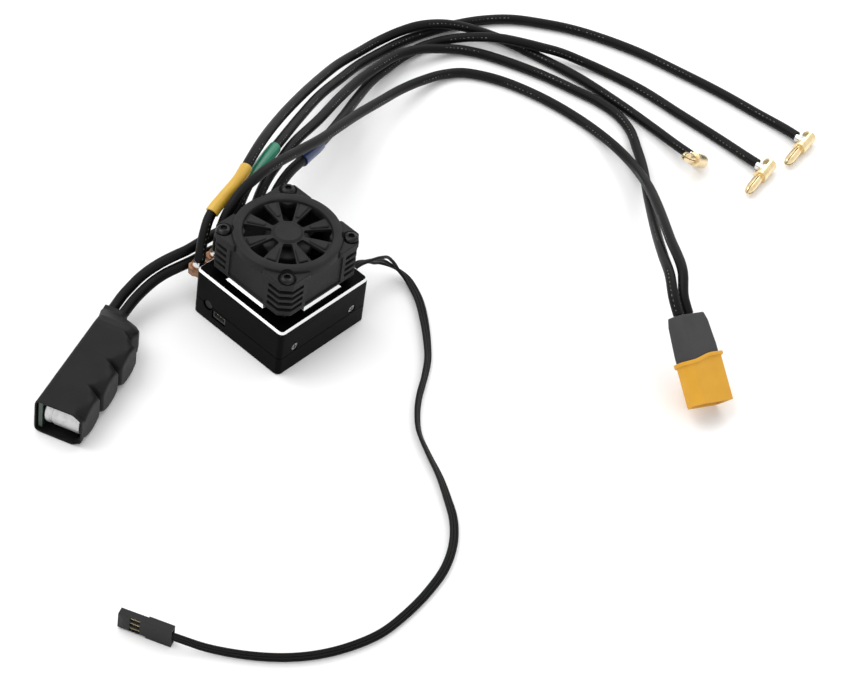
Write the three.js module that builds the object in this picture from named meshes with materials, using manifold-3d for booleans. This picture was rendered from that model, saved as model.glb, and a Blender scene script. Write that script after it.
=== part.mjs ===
// Brushless electronic speed controller for a radio-controlled car, as an assembly of separate pieces.
// Millimetres, +Z up. Origin: the middle of the underside of the case. X runs along the screwed face
// of the case, Y along the face with the setup button, and the power wires leave the +Y face.
import * as THREE from 'three';
import { mergeVertices } from 'three/addons/utils/BufferGeometryUtils.js';
import Module from 'manifold-3d';

const wasm = await Module();
wasm.setup();

// ---------------------------------------------------------------- driving dimensions
const GAP = 0.3;                       // clearance kept between pieces that touch
const CASE_X = 40;
const CASE_Y = 39.4;
const CASE_TOP = 19.2;
const SEAM = 7.4;                      // height where the tray ends and the upper case begins
const WALL = 1.6;
const FLOOR = 1.8;                     // thickness of the tray's bottom
const CEILING = 16.2;                  // underside of the upper case's top
const EDGE_BREAK = 0.8;                // chamfer round the plinth
const CORNER = 1.8;                    // vertical corner radius of the case
const TOP_CHAMFER = 0.7;
const PLINTH = 17.8;                   // half width of the fan plinth
const PLINTH_TOP = 22;
const FAN = 17.5;                      // half width of the fan
const FAN_BASE = PLINTH_TOP + GAP;
const FAN_TOP = 34.7;
const FAN_BORE = 15.8;
const FAN_FACET = 3.1;                 // how much is cut off the fan's corners
const SCREW_PITCH = 14.4;              // fan screws sit at plus and minus this on X and Y
const SCREW_HOLE = 1.25;               // radius of the holes for them
const GUARD_BASE = FAN_TOP + GAP;
const EAR_TOP = 37;
const BOWL_FLOOR = 36.4;               // the guard's screws sit in shallow bowls
const RING_TOP = 38.2;
const POST_X = [-15.6, -7.8, 0, 7.8, 15.6];
const POST_Y = 22.6;                   // where the power wires stand on their solder tabs
const TAB_BOTTOM = 12.6;
const TAB_TOP = 15.4;
const WIRE = 3.5;                      // outer diameter of the silicone power wire
const LEAD_WIDTH = 3.4;
const LEAD_THICK = 1.2;

// ---------------------------------------------------------------- materials
const finish = (color, roughness, metalness = 0) =>
  new THREE.MeshStandardMaterial({ color, roughness, metalness });
const ANODISED = finish(0x161617, 0.4, 0.6);
const FAN_PLASTIC = finish(0x2b2b2c, 0.65);
const DARK_PLASTIC = finish(0x18181a, 0.5);
const SILICONE = finish(0x151515, 0.55);
const RUBBER = finish(0x1c1c1c, 0.8);
const STEEL = finish(0xb9bcc0, 0.3, 1);
const BLACK_STEEL = finish(0x2a2a2b, 0.4, 0.9);
const GOLD = finish(0xd8a94e, 0.25, 1);
const COPPER = finish(0x8a5a3c, 0.4, 1);
const CIRCUIT = finish(0x14301f, 0.5);
const CHIP = finish(0x111112, 0.45);
const PAD_GREY = finish(0x8b8f94, 0.9);
const CAN = finish(0xd6d7d8, 0.35, 0.8);
const SHRINK_BLACK = finish(0x242425, 0.6);
const SHRINK_YELLOW = finish(0xe0b83a, 0.35);
const SHRINK_GREEN = finish(0x1e8a68, 0.35);
const SHRINK_BLUE = finish(0x26386b, 0.4);
const PLUG_YELLOW = finish(0xebb040, 0.4);
const PLUG_GREY = finish(0x4a4a4a, 0.55);

const part = new THREE.Group();

// ---------------------------------------------------------------- helpers
const v3 = (x, y, z) => new THREE.Vector3(x, y, z);

/** Add a geometry to the part as a named piece, optionally inside a turned group. */
function piece(name, geometry, material, parent = part) {
  const mesh = new THREE.Mesh(geometry, material);
  mesh.name = name;
  parent.add(mesh);
  return mesh;
}

/** A group placed at a point, with its own X and Y directions. */
function place(origin, xDirection, yDirection) {
  const group = new THREE.Group();
  const x = xDirection.clone().normalize();
  const z = x.clone().cross(yDirection).normalize();
  const y = z.clone().cross(x);
  group.quaternion.setFromRotationMatrix(new THREE.Matrix4().makeBasis(x, y, z));
  group.position.copy(origin);
  part.add(group);
  return group;
}

/** A box from its lowest to its highest corner. */
function box(x0, y0, z0, x1, y1, z1) {
  const geometry = new THREE.BoxGeometry(x1 - x0, y1 - y0, z1 - z0);
  return geometry.translate((x0 + x1) / 2, (y0 + y1) / 2, (z0 + z1) / 2);
}

/** An outline in the XY plane raised from z0 to z1. */
function prism(shape, z0, z1, curveSegments = 4) {
  const geometry = new THREE.ExtrudeGeometry(shape, { depth: z1 - z0, bevelEnabled: false, curveSegments });
  return geometry.translate(0, 0, z0);
}

/** An upright cylinder at x, y. */
function rod(radius, z0, z1, x = 0, y = 0, sides = 20) {
  const geometry = new THREE.CylinderGeometry(radius, radius, z1 - z0, sides);
  return geometry.rotateX(Math.PI / 2).translate(x, y, (z0 + z1) / 2);
}

/** A profile of [radius, height] points turned about Z. */
function turned(profile, sides = 20) {
  const points = profile.map(([r, z]) => new THREE.Vector2(r, z));
  return new THREE.LatheGeometry(points, sides).rotateX(Math.PI / 2);
}

/** A rectangle with half sizes a and b and corners rounded by r. */
function roundedShape(a, b, r) {
  const s = new THREE.Shape();
  s.moveTo(-a + r, -b);
  s.lineTo(a - r, -b);
  s.absarc(a - r, -b + r, r, -Math.PI / 2, 0, false);
  s.lineTo(a, b - r);
  s.absarc(a - r, b - r, r, 0, Math.PI / 2, false);
  s.lineTo(-a + r, b);
  s.absarc(-a + r, b - r, r, Math.PI / 2, Math.PI, false);
  s.lineTo(-a, -b + r);
  s.absarc(-a + r, -b + r, r, Math.PI, 1.5 * Math.PI, false);
  return s;
}

/** A square of half width a with its corners cut off by c. */
function cutSquare(a, c) {
  const corners = [[-a + c, -a], [a - c, -a], [a, -a + c], [a, a - c], [a - c, a], [-a + c, a], [-a, a - c],
    [-a, -a + c]];
  return new THREE.Shape(corners.map(([x, y]) => new THREE.Vector2(x, y)));
}

/** A closed skin through rings of points that all have the same count; the ends are fans. */
function loft(rings) {
  const count = rings[0].length;
  const positions = [];
  const triangle = (a, b, c) => [a, b, c].forEach((p) => positions.push(p.x, p.y, p.z));
  for (let k = 0; k + 1 < rings.length; k += 1) {
    for (let i = 0; i < count; i += 1) {
      const j = (i + 1) % count;
      triangle(rings[k][i], rings[k][j], rings[k + 1][j]);
      triangle(rings[k][i], rings[k + 1][j], rings[k + 1][i]);
    }
  }
  const middle = (ring) => ring.reduce((s, p) => s.add(p), v3(0, 0, 0)).divideScalar(count);
  const [first, last] = [rings[0], rings[rings.length - 1]];
  for (let i = 0; i < count; i += 1) {
    const j = (i + 1) % count;
    triangle(middle(first), first[j], first[i]);
    triangle(middle(last), last[i], last[j]);
  }
  const geometry = new THREE.BufferGeometry();
  geometry.setAttribute('position', new THREE.Float32BufferAttribute(positions, 3));
  return geometry;
}

/** The points of an outline as a ring at height z. */
const ringOf = (shape, z, segments = 4) => shape.getPoints(segments)
  .filter((p, i, all) => i === 0 || p.distanceTo(all[i - 1]) > 1e-4)
  .filter((p, i, all) => i + 1 < all.length || p.distanceTo(all[0]) > 1e-4)
  .map((p) => v3(p.x, p.y, z));

function toSolid(geometry) {
  const bare = geometry.clone();
  bare.deleteAttribute('normal');
  bare.deleteAttribute('uv');
  const merged = mergeVertices(bare, 1e-4);
  return new wasm.Manifold(new wasm.Mesh({
    numProp: 3,
    vertProperties: new Float32Array(merged.attributes.position.array),
    triVerts: new Uint32Array(merged.index.array),
  }));
}

function toGeometry(solid) {
  const mesh = solid.getMesh();
  const geometry = new THREE.BufferGeometry();
  geometry.setAttribute('position', new THREE.BufferAttribute(mesh.vertProperties, 3));
  geometry.setIndex(new THREE.BufferAttribute(mesh.triVerts, 1));
  return geometry;
}

const join = (...geometries) => toGeometry(geometries.map(toSolid).reduce((a, b) => a.add(b)));
const cut = (body, ...tools) => toGeometry(tools.map(toSolid).reduce((a, b) => a.subtract(b), toSolid(body)));
const common = (a, b) => toGeometry(toSolid(a).intersect(toSolid(b)));

/** Turn an upright tool so that it points along +Y or +X. */
const alongY = (geometry) => geometry.rotateX(-Math.PI / 2);
const alongX = (geometry) => geometry.rotateY(Math.PI / 2);

// ---------------------------------------------------------------- case
const LEAST_CORNER = 0.6;
const caseOutline = (inset = 0) => roundedShape(CASE_X / 2 - inset, CASE_Y / 2 - inset,
  Math.max(CORNER - inset, LEAST_CORNER));
const SIDE_SCREW_X = 13;
const SIDE_SCREW_Z = 9.2;
const POST_HALF = 2.9;                 // half width of a tab where it passes through the wall
const BUTTON = { y: 13.3, z: 7.0, r: 1.7 };
const buttonBore = () => alongX(rod(BUTTON.r + GAP, -3, 3, 0, 0, 16))
  .translate(-CASE_X / 2, BUTTON.y, BUTTON.z);
const PORT = { y0: 5, y1: 11.2, z0: 3.1, z1: 6.5 };

function lowerCase() {
  const tray = cut(prism(caseOutline(), 0, SEAM - GAP), prism(caseOutline(WALL), FLOOR, SEAM + 1));
  const lugs = [];
  for (const x of [-SIDE_SCREW_X, SIDE_SCREW_X]) {
    for (const side of [-1, 1]) {
      const near = side * (CASE_Y / 2 - WALL - GAP);
      const far = near - side * 2.8;
      const lug = box(x - 2.5, Math.min(near, far), 1.5, x + 2.5, Math.max(near, far), 11.4);
      const hole = alongY(rod(0.95, -30, 30, 0, 0, 12)).translate(x, 0, SIDE_SCREW_Z);
      lugs.push(cut(lug, hole));
    }
  }
  const port = box(-CASE_X / 2 - 1, PORT.y0, PORT.z0, -CASE_X / 2 + WALL + 1, PORT.y1, PORT.z1);
  return cut(join(tray, ...lugs), port, buttonBore());
}
piece('lower_case', lowerCase(), ANODISED);

const QUADRANTS = [[-1, -1], [-1, 1], [1, -1], [1, 1]];
const screwHoles = (z0, z1) => QUADRANTS.map(([sx, sy]) => rod(SCREW_HOLE, z0, z1,
  sx * SCREW_PITCH, sy * SCREW_PITCH, 12));
function upperCase() {
  const shell = loft([
    ringOf(caseOutline(), SEAM),
    ringOf(caseOutline(), CASE_TOP - TOP_CHAMFER),
    ringOf(roundedShape(CASE_X / 2 - TOP_CHAMFER, CASE_Y / 2 - TOP_CHAMFER, CORNER), CASE_TOP),
  ]);
  const cross = join(
    prism(cutSquare(PLINTH, 0.1), CASE_TOP - 0.5, PLINTH_TOP - EDGE_BREAK),
    prism(cutSquare(PLINTH - EDGE_BREAK, 0.1), PLINTH_TOP - EDGE_BREAK - 0.1, PLINTH_TOP),
  );
  // The plinth's corners are milled back, which leaves four bright-edged bars along its sides.
  const middle = 13.4;
  const half = 4.9;
  const corners = QUADRANTS.map(([sx, sy]) => box(sx * middle - half, sy * middle - half, CASE_TOP,
    sx * middle + half, sy * middle + half, PLINTH_TOP + 1));
  const bosses = QUADRANTS.map(([sx, sy]) => rod(3.4, CASE_TOP - 0.5, PLINTH_TOP,
    sx * SCREW_PITCH, sy * SCREW_PITCH, 12));
  const solid = join(cut(join(shell, cross), ...corners), ...bosses);
  const cavity = prism(caseOutline(WALL), SEAM - 1, CEILING);
  const tools = [cavity, ...screwHoles(17.2, PLINTH_TOP + 1)];
  // Cooling grooves in the middle of the plinth, under the fan.
  const groove = { pitch: 3.2, half: 0.9, reach: 11, floor: CASE_TOP + 0.2 };
  for (let k = -3; k <= 3; k += 1) {
    const x = k * groove.pitch;
    tools.push(box(x - groove.half, -groove.reach, groove.floor,
      x + groove.half, groove.reach, PLINTH_TOP + 1));
  }
  for (const x of [-SIDE_SCREW_X, SIDE_SCREW_X]) {
    for (const side of [-1, 1]) {
      const hole = alongY(rod(1.15, -2, 2, 0, 0, 16)).translate(x, side * (CASE_Y / 2 - 0.9), SIDE_SCREW_Z);
      const sink = alongY(turned([[0, -1.1], [1.4, -1.1], [2.0, 0.4], [0, 0.4]], 16));
      if (side < 0) sink.rotateZ(Math.PI);
      tools.push(hole, sink.translate(x, side * (CASE_Y / 2), SIDE_SCREW_Z));
    }
  }
  const tabWindow = POST_X[4] + POST_HALF;
  tools.push(box(-tabWindow, CASE_Y / 2 - WALL - 1, 11.1, tabWindow, CASE_Y / 2 + 1, 16.9));
  tools.push(box(CASE_X / 2 - WALL - 1, -13.7, 13.5, CASE_X / 2 + 1, -6.7, 17.1));
  return cut(solid, buttonBore(), ...tools);
}
piece('upper_case', upperCase(), ANODISED);

/** Small countersunk screw with a cross recess, along +Z, head top at z = 0. */
function sideScrew() {
  const body = turned([[0, -5.2], [0.65, -5.2], [0.65, -1.1], [1.05, -0.95], [1.5, -0.1], [1.5, 0],
    [0, 0]], 12);
  const slots = [box(-0.9, -0.16, -0.35, 0.9, 0.16, 1), box(-0.16, -0.9, -0.35, 0.16, 0.9, 1)];
  return cut(body, ...slots);
}
const SIDE_SCREWS = [[-1, -1, 'front_left'], [1, -1, 'front_right'], [-1, 1, 'rear_left'],
  [1, 1, 'rear_right']];
SIDE_SCREWS.forEach(([sx, sy, name]) => {
  const head = v3(sx * SIDE_SCREW_X, sy * (CASE_Y / 2 - 0.25), SIDE_SCREW_Z);
  const seat = place(head, v3(1, 0, 0), v3(0, 0, -sy));
  piece(`case_screw_${name}`, sideScrew(), BLACK_STEEL, seat);
});

// ---------------------------------------------------------------- inside the case
const BOARD_Z = 4.2;
piece('main_board', prism(roundedShape(16.2, 14.4, 0.8), BOARD_Z, BOARD_Z + 1.2, 2), CIRCUIT);
[-10, 0, 10].forEach((x, i) => {
  piece(`mosfet_phase_${'abc'[i]}`, box(x - 3.2, 4.5, BOARD_Z + 1.5, x + 3.2, 10.5, BOARD_Z + 2.7), CHIP);
});
piece('microcontroller', box(-5, -8, BOARD_Z + 1.5, 2, -1, BOARD_Z + 2.5), CHIP);
piece('thermal_pad', box(-14, -12, 12.2, 14, 10, 15.9), PAD_GREY);
piece('power_board', box(-17, -12.5, 10.6, 17, 13.4, 11.9), CIRCUIT);

/** The setup button: a short plunger in the side bore with a collar that the wall holds in. */
function setupButton() {
  const stem = turned([[0, 0.35], [BUTTON.r, 0.35], [BUTTON.r, 2.1], [0, 2.1]], 16);
  const collar = turned([[0, 2], [2.2, 2], [2.2, 2.8], [0, 2.8]], 16);
  return join(stem, collar);
}
const buttonSeat = place(v3(-CASE_X / 2, BUTTON.y, BUTTON.z), v3(0, 1, 0), v3(0, 0, 1));
piece('setup_button', setupButton(), DARK_PLASTIC, buttonSeat);
piece('button_switch', box(-CASE_X / 2 + 3.6, BUTTON.y - 2.3, BOARD_Z + 1.5,
  -CASE_X / 2 + 7.2, BUTTON.y + 1, 8.6), CHIP);

/** A socket that is open to the front and, behind its contacts, to the sides. */
function programPort() {
  const shell = box(-CASE_X / 2 + 0.5, PORT.y0 + GAP, PORT.z0 + GAP, -14, PORT.y1 - GAP, PORT.z1 - GAP);
  const mouth = box(-CASE_X / 2 - 1, 5.9, 3.9, -16, 10.3, 5.7);
  const rear = box(-18, 4, 3.9, -13, 12, 5.7);
  return cut(shell, mouth, rear);
}
piece('program_port', programPort(), DARK_PLASTIC);

// ---------------------------------------------------------------- solder tabs
/** A copper tab that comes out through the wall, with a raised cup round the foot of its wire. */
function solderTab(x) {
  const bar = join(
    box(x - POST_HALF + 0.4, 15, TAB_BOTTOM, x + POST_HALF - 0.4, 22, TAB_TOP),
    prism(roundedShape(3.3, 2.2, 1.2), TAB_BOTTOM, TAB_TOP, 3).translate(x, 23.2, 0),
  );
  const cup = cut(rod(2.6, TAB_TOP - 0.2, TAB_TOP + 1.6, x, POST_Y, 12),
    rod(WIRE / 2 + GAP, TAB_TOP, TAB_TOP + 3, x, POST_Y, 12));
  return join(bar, cup);
}
const POST_NAMES = ['motor_a', 'battery_minus', 'motor_b', 'battery_plus', 'motor_c'];
POST_X.forEach((x, i) => piece(`solder_tab_${POST_NAMES[i]}`, solderTab(x), COPPER));

function terminalBlock() {
  const bar = box(-18, 17.4, 11.4, 18, 19.6, 16.6);
  const half = POST_HALF - 0.1;
  const slots = POST_X.map((x) => box(x - half, 16, TAB_BOTTOM - GAP, x + half, 21, TAB_TOP + GAP));
  return cut(bar, ...slots);
}
piece('terminal_block', terminalBlock(), DARK_PLASTIC);

// ---------------------------------------------------------------- fan
function fanFrame() {
  const body = prism(cutSquare(FAN, FAN_FACET), FAN_BASE, FAN_TOP);
  const bore = rod(FAN_BORE, FAN_BASE - 1, FAN_TOP + 1, 0, 0, 28);
  const tools = [bore, ...screwHoles(FAN_BASE - 1, FAN_TOP + 1)];
  for (const turn of [0, 1, 2, 3]) {
    tools.push(box(-8, -FAN - 1, FAN_BASE + 1, 8, -FAN + 0.6, FAN_TOP + 1).rotateZ(turn * Math.PI / 2));
  }
  // Four cooling slots go round each corner and stop at the flat middle of the sides.
  const inner = cutSquare(FAN - 1.7, 2.9);
  const keep = 9.5;
  const middle = join(box(-keep, -20, FAN_BASE, keep, 20, FAN_TOP),
    box(-20, -keep, FAN_BASE, 20, keep, FAN_TOP));
  const slot = { first: FAN_BASE + 2.1, pitch: 2.6, high: 1.4 };
  for (let level = 0; level < 4; level += 1) {
    const z = slot.first + level * slot.pitch;
    const band = prism(cutSquare(FAN + 1, 0.1), z, z + slot.high);
    tools.push(cut(band, prism(inner, z - 1, z + 3), middle));
  }
  const ring = cut(body, ...tools);
  const struts = [0, 1, 2, 3].map((k) => box(5, -0.9, FAN_BASE, 16.4, 0.9, FAN_BASE + 1.2)
    .rotateZ(Math.PI / 4 + k * Math.PI / 2));
  const seat = cut(rod(7.4, FAN_BASE, FAN_BASE + 1.4, 0, 0, 28),
    rod(2.3, FAN_BASE - 1, FAN_BASE + 3, 0, 0, 16));
  return join(ring, ...struts, seat);
}
piece('fan_frame', fanFrame(), FAN_PLASTIC);

piece('fan_bearing', turned([[1.05, FAN_BASE + 0.1], [2.0, FAN_BASE + 0.1], [2.0, 30.4], [1.05, 30.4],
  [1.05, FAN_BASE + 0.1]], 16), COPPER);
piece('fan_stator', cut(rod(6.4, 24.1, 29.4, 0, 0, 24), rod(2.3, 23, 31, 0, 0, 16),
  ...[0, 1, 2, 3].map((k) => box(3.2, -0.7, 23, 8, 0.7, 31).rotateZ(k * Math.PI / 2))), COPPER);
piece('fan_shaft', rod(0.75, FAN_BASE + 0.4, 32.9, 0, 0, 12), STEEL);

function fanRotor() {
  const cup = cut(turned([[0, 24.3], [8.1, 24.3], [8.1, 33.1], [7.5, 33.7], [0, 33.7]], 28),
    rod(7.2, 24, 31.8, 0, 0, 28));
  const boss = cut(rod(2.2, 30.8, 33, 0, 0, 16), rod(0.75 + GAP, 30, 33.1, 0, 0, 12));
  const hub = cut(join(cup, boss), rod(0.75 + GAP, 30, 33.15, 0, 0, 12));
  const blades = [];
  const BLADES = 7;
  for (let k = 0; k < BLADES; k += 1) {
    const rings = [7.6, 10.5, 13, 15.2].map((radius, i) => {
      const halfTurn = [0.36, 0.30, 0.27, 0.24][i];
      const drop = [3.6, 3.4, 3.2, 3.0][i];
      const ring = [];
      const steps = [-1, -0.33, 0.33, 1];
      const at = (t, lift) => {
        const angle = k * 2 * Math.PI / BLADES + t * halfTurn + i * 0.1;
        return v3(radius * Math.cos(angle), radius * Math.sin(angle), 28.9 - t * drop + lift);
      };
      steps.forEach((t) => ring.push(at(t, -0.35)));
      steps.slice().reverse().forEach((t) => ring.push(at(t, 0.35)));
      return ring;
    });
    blades.push(loft(rings));
  }
  return join(hub, ...blades);
}
piece('fan_rotor', fanRotor(), DARK_PLASTIC);

const RING_IN = 14.4;
const RING_OUT = 18;
function fanGuard() {
  const ears = prism(cutSquare(FAN + 0.2, FAN_FACET), GUARD_BASE, EAR_TOP);
  const four = QUADRANTS.map(([sx, sy]) => common(ears,
    box(-7, -7, GUARD_BASE - 1, 7, 7, EAR_TOP + 1).translate(sx * 13, sy * 13, 0)));
  const ring = turned([[RING_IN, GUARD_BASE], [RING_OUT, GUARD_BASE], [RING_OUT, RING_TOP - 0.7],
    [RING_OUT - 0.7, RING_TOP], [RING_IN + 0.7, RING_TOP], [RING_IN, RING_TOP - 0.9],
    [RING_IN, GUARD_BASE]], 32);
  const disc = turned([[0, 36.2], [14.7, 36.2], [14.7, 37.3], [4.9, 37.7], [4.3, RING_TOP],
    [0, RING_TOP]], 32);
  const openings = [];
  for (let k = 0; k < 8; k += 1) {
    const wedge = new THREE.Shape([[5.2, -1.4], [13.6, -2.8], [14.3, -2.1], [14.3, 2.1], [13.6, 2.8],
      [5.2, 1.4]]
      .map(([x, y]) => new THREE.Vector2(x, y)));
    openings.push(prism(wedge, 34, 40).rotateZ(k * Math.PI / 4));
  }
  const rim = cut(rod(RING_OUT, GUARD_BASE, EAR_TOP, 0, 0, 32), rod(15.4, 34, 39, 0, 0, 32));
  const bowls = QUADRANTS.map(([sx, sy]) => rod(2.9, BOWL_FLOOR, 40,
    sx * SCREW_PITCH, sy * SCREW_PITCH, 16));
  return cut(join(...four, rim, ring, cut(disc, ...openings)), ...screwHoles(34, 40), ...bowls);
}
piece('fan_guard', fanGuard(), FAN_PLASTIC);

/** Button-head screw with a hex socket, along +Z, under-head at z = 0. */
function guardScrew() {
  const body = turned([[0, -19.2], [0.95, -19.2], [0.95, 0], [2.4, 0], [2.4, 0.3], [1.9, 0.9],
    [1.1, 1.25], [0, 1.3]], 12);
  return cut(body, rod(0.8, 0.4, 3, 0, 0, 6));
}
[[-1, -1, 'front'], [1, -1, 'right'], [-1, 1, 'left'], [1, 1, 'rear']].forEach(([sx, sy, name]) => {
  const screw = guardScrew().translate(sx * SCREW_PITCH, sy * SCREW_PITCH, BOWL_FLOOR + GAP);
  piece(`guard_screw_${name}`, screw, BLACK_STEEL);
});

// ---------------------------------------------------------------- cords
/** A tube of a round or flat section along a curve through the points. */
function tube(points, width, thick = width, steps = 34, sides = 8) {
  const curve = new THREE.CatmullRomCurve3(points.map(([x, y, z]) => v3(x, y, z)));
  const outline = [];
  for (let i = 0; i < sides; i += 1) {
    const a = ((i + 0.5) / sides) * 2 * Math.PI;
    outline.push(new THREE.Vector2((thick / 2) * Math.cos(a), (width / 2) * Math.sin(a)));
  }
  const shape = new THREE.Shape(outline);
  return new THREE.ExtrudeGeometry(shape, { steps, bevelEnabled: false, extrudePath: curve });
}

/** A thin shell round a stretch of a route, between two distances along it. */
function sleeveAlong(points, from, to, inner, outer, sides = 10, steps = 4) {
  const curve = new THREE.CatmullRomCurve3(points.map(([x, y, z]) => v3(x, y, z)));
  const skin = (radius, a, b) => {
    const rings = [];
    for (let k = 0; k <= steps; k += 1) {
      const u = (a + ((b - a) * k) / steps) / curve.getLength();
      const centre = curve.getPointAt(u);
      const along = curve.getTangentAt(u);
      const side = along.clone().cross(v3(0, 0, 1)).normalize();
      const up = side.clone().cross(along);
      const ring = [];
      for (let i = 0; i < sides; i += 1) {
        const t = (i / sides) * 2 * Math.PI;
        const across = side.clone().multiplyScalar(Math.cos(t)).addScaledVector(up, -Math.sin(t));
        ring.push(centre.clone().addScaledVector(across, radius));
      }
      rings.push(ring);
    }
    return loft(rings);
  };
  return cut(skin(outer, from, to), skin(inner, from - 1, to + 1));
}

// Each wire stands up from its tab, arches over to the right and comes down to lie on the table. Where one
// crosses another it is lifted by a diameter. Heights are those of the wire's centre line.
const ROUTES = {
  motor_a: [[-15.6, 22.6, 17.6], [-15.2, 22.8, 21.5], [-12.8, 24.3, 26], [-8, 26.8, 29.8], [-1, 28.2, 32.4],
    [7, 29.5, 34.5],
    [15, 33, 35.5], [27, 39, 33.5], [44, 47.5, 27.5], [62, 55.5, 21], [80, 63, 14], [96, 68.5, 8.5],
    [110, 71, 5], [120, 71.5, 4], [129, 69.5, 5], [136, 66.5, 6], [143, 62, 6], [149, 56.5, 5],
    [154, 51, 3.2], [158, 44, 2], [161, 31, 1.9], [164, 14, 1.9], [165, -5, 1.9], [164.5, -22, 2.2],
    [163, -34, 3.4], [162, -41, 4.5]],
  motor_b: [[0, 22.6, 17.6], [0, 23, 22], [2, 24.5, 26], [7, 27, 29.5], [15, 30.5, 31], [24, 34, 30.5],
    [36, 39, 28], [55, 48, 21.5], [73, 56, 15.2], [90, 62, 9.2], [105, 66.5, 4.6], [117, 68, 2.2],
    [128, 67.5, 1.9], [140, 65, 1.9], [152, 61, 1.9], [161, 56.5, 1.9], [169, 50.5, 1.9], [176, 42, 1.9],
    [182, 33, 1.9], [187, 22.5, 1.9], [192, 8, 1.9], [195.5, -8.5, 1.9], [198.5, -25, 1.9],
    [200.5, -42, 1.9],
    [201.5, -53, 2.3], [201.5, -58.5, 2.6]],
  motor_c: [[15.6, 22.6, 17.6], [16, 22.8, 20.5], [17.8, 23.6, 23.6], [21.5, 24.8, 26],
    [28, 26.7, 27.2], [38, 29.5, 25.6],
    [47, 32.5, 23.2], [58, 37, 19.6], [72, 43.5, 14.8], [87, 51, 9.2], [102, 57.5, 4.6], [114, 60.5, 2.4],
    [123, 61.5, 1.9], [131.5, 61, 1.9], [139, 58.5, 2.4], [144, 54, 4.2], [149, 48.5, 5.6],
    [154, 42.5, 6.2],
    [158, 37, 6], [162, 31, 5.6], [166.5, 25, 4.6], [170.5, 18.5, 3], [174, 10, 1.9], [177, -5.5, 1.9],
    [178, -23, 1.9], [179, -41, 1.9], [179, -52.5, 2.3], [179, -58.5, 2.6]],
  battery_plus: [[7.8, 22.6, 17.6], [8.2, 22.8, 20.5], [10, 24, 23.8], [14.5, 26.4, 26.2],
    [21, 29.5, 26.9], [30, 33.2, 26.2],
    [41, 37.5, 25], [60, 44, 20], [78, 51, 15], [93, 56, 11], [107, 59, 8], [118.5, 60, 6.3],
    [127, 58, 5.4], [134.5, 55, 3.6], [141, 51, 2.3], [145.5, 45.5, 1.9], [149, 38.5, 1.9], [152, 31, 1.9],
    [155, 22, 1.9], [157.5, 12, 1.9], [160, 0, 1.9], [160, -9, 1.9], [157.5, -17, 1.9], [151, -25.8, 3],
    [143, -35, 5.2], [129.3, -48.8, 8.6], [110, -67, 17.5], [99, -78, 23], [90.6, -87.2, 26.6],
    [84.8, -94, 25.3], [82.6, -98.6, 22.3]],
  battery_minus: [[-7.8, 22.6, 17.6], [-7.5, 22.5, 22.5], [-6.5, 22.5, 28], [-3, 23, 33],
    [3, 24, 36.2], [12, 25, 37.3],
    [22, 26.5, 35.8], [34, 28.5, 32.3], [47, 31, 28], [61, 35, 23], [75, 39, 17.8], [90, 42.5, 12.5],
    [104, 45.5, 7.8], [116, 46.5, 4.4], [126, 45.5, 2.4], [133, 42, 1.9], [138, 35.5, 1.9],
    [141.5, 28.5, 1.9],
    [144.5, 19, 1.9], [146.5, 9, 1.9], [147.5, -2, 1.9], [147, -12, 2.4], [144, -22.5, 4.6],
    [140, -32.5, 6.8], [129.2, -47.4, 14], [118.5, -60, 19.6], [106, -74.5, 24.5], [95.2, -88.6, 27],
    [89, -95, 24], [86.8, -99.6, 20.9]],
};
for (const [name, route] of Object.entries(ROUTES)) piece(`${name}_wire`, tube(route, WIRE), SILICONE);
piece('yellow_sleeve', sleeveAlong(ROUTES.motor_a, 16.5, 38.5, 2.05, 2.45), SHRINK_YELLOW);
piece('green_sleeve', sleeveAlong(ROUTES.motor_b, 22, 43, 2.05, 2.35), SHRINK_GREEN);
piece('blue_sleeve', sleeveAlong(ROUTES.motor_c, 27, 42, 2.05, 2.35), SHRINK_BLUE);

// ---------------------------------------------------------------- right-angle bullet plugs
/** A gold bullet: pin along +X, collar, and a half-open cup that takes the wire from the side. */
function bullet() {
  const pin = alongX(turned([[0, 4.6], [2.5, 4.6], [2.5, 6.2], [1.45, 6.4], [1.72, 8], [1.72, 14.2],
    [1.1, 15.6],
    [0, 15.9]], 12));
  const slots = [box(7.4, -0.2, -3, 17, 0.2, 3), box(7.4, -3, -0.2, 17, 3, 0.2)];
  const cup = alongX(cut(rod(2.5, -2.5, 4.7, 0, 0, 12), rod(1.9, -1.6, 4, 0, 0, 12)));
  const mouth = box(-1.6, 0, -3, 4, 3, 3);
  return join(cut(pin, ...slots), cut(cup, mouth));
}
const CUP_R = 2.5;
const END_GAP = 1.2;                   // from the cut end of the wire to the open side of the cup
const BULLETS = {
  motor_a: { end: ROUTES.motor_a.at(-1), pin: v3(-0.77, -0.06, 0.64) },
  motor_b: { end: ROUTES.motor_b.at(-1), pin: v3(-0.98, -0.2, 0) },
  motor_c: { end: ROUTES.motor_c.at(-1), pin: v3(-0.97, -0.22, 0) },
};
for (const [name, { end: [x, y, z], pin }] of Object.entries(BULLETS)) {
  const back = v3(0, 1, 0);
  const middle = v3(x, y - CUP_R - END_GAP, z).addScaledVector(pin.clone().normalize(), -1.2);
  const seat = place(middle, pin, back);
  piece(`bullet_${name}`, bullet(), GOLD, seat);
}

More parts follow.
